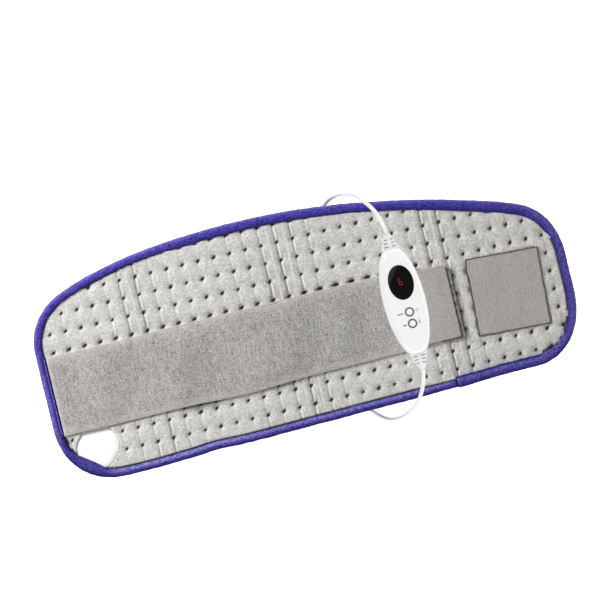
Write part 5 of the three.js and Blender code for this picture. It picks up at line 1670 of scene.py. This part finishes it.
def lay_cord(name, points):
    """A cord along a smooth curve through its points, given in millimetres."""
    curve = bpy.data.curves.new(name, "CURVE")
    curve.dimensions = "3D"
    curve.bevel_depth = CORD_DIAMETER / 2
    curve.bevel_resolution = 5
    curve.resolution_u = 6
    curve.use_fill_caps = True
    spline = curve.splines.new("BEZIER")
    spline.bezier_points.add(len(points) - 1)
    for knot, point in zip(spline.bezier_points, points):
        knot.co = Vector(point) / 1000
        knot.handle_left_type = "AUTO"
        knot.handle_right_type = "AUTO"
    curve.materials.append(cord_white)
    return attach(put_in_scene(name, curve), "belt")


pad_route = [
    (129.1, -94.2, 43.4), (129, -100.4, 43.2), (127.4, -108.5, 40.8), (124.6, -116.8, 37),
    (120.8, -124.8, 34.2), (116, -132.5, 30), (108.7, -140, 24.5), (99.9, -145.8, 18.5),
    (89.9, -149.4, 12.5), (79, -149.6, 7.5), (70.1, -146.2, 4.4), (62.5, -140.2, 3),
    (54, -131.5, 2.7), (42, -121, 2.7), (26, -111.5, 2.7), (5, -105, 2.7),
    (-25, -101.5, 2.7), (-60, -100, 2.7), (-100, -99.3, 2.7), (-140, -98.8, 2.7),
    (-180, -98.1, 2.7), (-213, -97, 2.9), (-228, -96.6, 3.5), (-237, -96.5, 3.8),
    (-243, -96.5, 3.8),
]
pad_cord = lay_cord("pad_cord", pad_route)
declare(pad_cord, "cord", "pad_lead")

# Mains cord: the same cord from the handset's upper end, over the belt's edge and under it.
# Its spare length is wound in two layers, tied, and ends in a flat two-pin plug on the table.
mains_route = [
    (124.9, 77, 43.7), (124.7, 83.2, 43.5), (122.9, 92, 41), (120.2, 102, 37.6),
    (116.6, 110.5, 35.6), (112, 118, 34.8), (106, 125.3, 34.2), (99.4, 132.5, 32.2),
    (92.4, 137.2, 28), (85, 139.4, 23), (75, 139.7, 16), (65.8, 137.1, 10.6),
    (58.2, 131.9, 7), (47, 123, 4.2), (33, 112.5, 2.8), (14, 100.8, 2.7),
    (-6, 88.8, 2.9), (-24, 77, 3.5), (-37.2, 65.5, 3.9), (-41, 61.6, 3.9),
]
COIL_LOOPS = 3.5
COIL_PITCH = 5.6
COIL_MIDDLE = (-20, 25)
COIL_OUTER, COIL_INNER = 41.1, 21.5
COIL_START = math.radians(127)
COIL_HEIGHT = 3.9
TURN_POINTS = 24
for step in range(int((2 * COIL_LOOPS + 0.5) * TURN_POINTS) + 1):
    turns = step / TURN_POINTS
    inside = turns - COIL_LOOPS
    radius = COIL_OUTER - COIL_PITCH * turns if inside < 0.25 else COIL_INNER + COIL_PITCH * (inside - 0.5)
    angle = COIL_START + turns * math.tau
    rise = COIL_HEIGHT + COIL_PITCH * ease(inside / 0.5)
    along, across = radius * math.cos(angle), radius * math.sin(angle)
    mains_route.append((COIL_MIDDLE[0] + along, COIL_MIDDLE[1] + across, rise))
mains_route += [
    (9.4, -5.3, 9.5), (13.9, -2.9, 9.5), (28, 5.5, 8.4), (42, 15.5, 7.2),
    (56, 23.2, 6.8), (66.5, 26.7, 7), (75, 27, 7),
]
mains_cord = lay_cord("mains_cord", mains_route)
declare(mains_cord, "cord", "mains_lead", "mains_coil", "mains_tail")

tie_black, tie_tree, tie_shader = new_material("tie_black", Roughness=0.85)
tie_weave = use_group(tie_tree, weave, threads=900.0, points=900.0, slubs=90.0)
tie_tone = two_tone(tie_tree, tie_weave, (30, 30, 32), (52, 52, 54))
give_surface(tie_tree, tie_shader, tie_tone, tie_weave, 0.0002)
tie_loop = bmesh.new()
tie_ring = bmesh.ops.create_circle(tie_loop, segments=48, radius=1)["verts"]
tie_shape = oblong(0.0157, 0.0061, 48, squareness=0.4)
for k, vert in enumerate(tie_ring):
    vert.co = (0.03075 + tie_shape[k][0], -0.0058, 0.00665 + tie_shape[k][1])
tie_grown = bmesh.ops.extrude_edge_only(tie_loop, edges=tie_loop.edges[:])["geom"]
bmesh.ops.translate(tie_loop, vec=(0, 0.0116, 0), verts=verts_in(tie_grown))
bmesh.ops.recalc_face_normals(tie_loop, faces=tie_loop.faces)
tie_place = Matrix.Translation((COIL_MIDDLE[0] / 1000, COIL_MIDDLE[1] / 1000, 0))
tie_place = tie_place @ Matrix.Rotation(math.radians(217), 4, "Z")
tie_strip = thicken(make_piece("tie_strip", moved_by(tie_place, tie_loop), tie_black), 0.0008)
declare(tie_strip, "black_plastic", "coil_tie")

PLUG_PLACE = (0.094, 0.027, 0.007)
PIN_OFFSET = 0.0093
plug_sections = [
    (0.0003, 0.0085, 0.0056),
    (0.0009, 0.009, 0.006),
    (0.005, 0.0112, 0.0065),
    (0.0088, 0.0142, 0.0069),
    (0.0135, 0.0163, 0.0069),
    (0.0175, 0.0175, 0.0069),
    (0.026, 0.0176, 0.0069),
    (0.0343, 0.0176, 0.0069),
    (0.0353, 0.0168, 0.0062),
]
plug = lofted(plug_sections, sides=48)
plug_way = Matrix.Translation(PLUG_PLACE) @ ALONG_BELT
plug_piece = make_piece("plug_moulding", moved_by(plug_way, plug), soft_white)


def along_pin(x, across):
    """The place of a pin, with the upright axis laid along the belt."""
    place = Matrix.Translation((x, PLUG_PLACE[1] + across, PLUG_PLACE[2]))
    return place @ Matrix.Rotation(math.pi / 2, 4, "Y")


pin_holes = []
for across in (PIN_OFFSET, -PIN_OFFSET):
    hole = oval_plug((0, 0), (0.0023, 0.0023), 0, 0.005, 24)
    pin_holes.append(moved_by(along_pin(0.126, across), hole))
cut_out(plug_piece, pin_holes)
smooth_shading(plug_piece.data, sharp=40)
declare(plug_piece, "white_soft", "plug_body")
plug_sleeve_sections = [
    (-0.02, 0.003, 0.003),
    (-0.0195, 0.0034, 0.0034),
    (-0.014, 0.0043, 0.0039),
    (-0.0132, 0.0037, 0.0034),
    (-0.0122, 0.0037, 0.0034),
    (-0.0114, 0.0047, 0.0041),
    (-0.0082, 0.0052, 0.0044),
    (-0.0074, 0.0045, 0.0039),
    (-0.0064, 0.0045, 0.0039),
    (-0.0056, 0.0056, 0.0047),
    (-0.0008, 0.0062, 0.005),
    (0, 0.0059, 0.0047),
]
plug_sleeve = lofted(plug_sleeve_sections, sides=32)
plug_neck = make_piece("plug_sleeve", moved_by(plug_way, plug_sleeve), sleeve_white, sharp=40)
declare(plug_neck, "white_soft", "plug_relief")
for node, across in (("plug_pin_left", PIN_OFFSET), ("plug_pin_right", -PIN_OFFSET)):
    pin = turned([(0, 0), (0.002, 0), (0.002, 0.0195), (0.0017, 0.0212), (0.0009, 0.022), (0, 0.0221)], 32)
    pin_piece = make_piece(node + "_pin", moved_by(along_pin(0.1263, across), pin), plated, sharp=35)
    declare(pin_piece, "steel", node)

# Stage: a table that is plain white to the camera, under an even white world.
# The cloth has one soft light from the upper left and a weak fill, and the hard pieces have four
# soft lights round them, because the photograph lights the two differently.
floor = bmesh.new()
bmesh.ops.create_grid(floor, x_segments=1, y_segments=1, size=6)
table_white, table_tree, table_shader = new_material("table_white", Roughness=0.9)
table_grain = use_group(table_tree, moulded, grain=300.0, rubs=5.0)
table_tone = two_tone(table_tree, table_grain, (252, 252, 252), (255, 255, 255))
table_tree.links.new(table_tone, table_shader.inputs["Base Color"])
table_shader.inputs["Emission Color"].default_value = (1, 1, 1, 1)
table_seen = add_node(table_tree, "ShaderNodeLightPath").outputs["Is Camera Ray"]
table_glow = math_node(table_tree, "MULTIPLY", table_seen, 0.8)
table_tree.links.new(table_glow, table_shader.inputs["Emission Strength"])
table = make_piece("table", floor, table_white, body=None)

PHOTO_TURN = math.radians(13.6)
SOFT_BOX = 1.2
CLOTH_POWER, FILL_POWER, SHELL_POWER = 229.0, 40.0, 25.5
WORLD_STRENGTH = 0.33
image_right = Vector((math.cos(PHOTO_TURN), -math.sin(PHOTO_TURN), 0))
image_up = Vector((math.sin(PHOTO_TURN), math.cos(PHOTO_TURN), 0))


def soft_light(name, place, power, lit):
    """A square soft box that looks at the belt's middle and lights only some of the pieces."""
    light = bpy.data.lights.new(name, "AREA")
    light.size = SOFT_BOX
    light.energy = power
    made = put_in_scene(name, light)
    made.location = place
    made.rotation_euler = (-place).to_track_quat("-Z", "Y").to_euler()
    made.light_linking.receiver_collection = lit
    made.light_linking.blocker_collection = lit


cloth_pieces = bpy.data.collections.new("cloth_pieces")
cloth_lit = [quilt_piece, inlet_disc, tape, binding_stitches, strap_cloth, *strap_seams]
cloth_lit += [tab_cover, hook_tape, hook_pile, patch_cloth, patch_seam]
for piece in cloth_lit:
    cloth_pieces.objects.link(piece)
hard_pieces = bpy.data.collections.new("hard_pieces")
for piece in bpy.context.scene.objects:
    if piece.type in {"MESH", "CURVE"} and piece.name not in cloth_pieces.objects:
        hard_pieces.objects.link(piece)
cloth_place = -3.3 * image_right + 1.55 * image_up + Vector((0, 0, 2.1))
soft_light("cloth_light", cloth_place, CLOTH_POWER, cloth_pieces)
fill_place = 3.0 * image_right - 2.0 * image_up + Vector((0, 0, 1.3))
soft_light("cloth_fill", fill_place, FILL_POWER, cloth_pieces)
for number in range(4):
    angle = math.radians(45 + 90 * number)
    side_place = Vector((2.2 * math.cos(angle), 2.2 * math.sin(angle), 1.0))
    soft_light(f"shell_light_{number + 1}", side_place, SHELL_POWER, hard_pieces)
world = bpy.data.worlds.new("studio")
world.use_nodes = True
background = world.node_tree.nodes["Background"]
background.inputs["Color"].default_value = (1, 1, 1, 1)
background.inputs["Strength"].default_value = WORLD_STRENGTH
bpy.context.scene.world = world
bpy.context.scene.view_settings.view_transform = "Standard"

# Camera: a long lens, straight above.
# The belt is turned in the frame as it lies in the photograph.
camera_data = bpy.data.cameras.new("camera")
camera_data.lens = 240
camera_data.sensor_width = 36
camera_data.clip_end = 50
camera = put_in_scene("camera", camera_data)
camera.location = (0.0011, 0.0233, 5.02)
camera.rotation_euler = (0, 0, -PHOTO_TURN)
bpy.context.scene.camera = camera
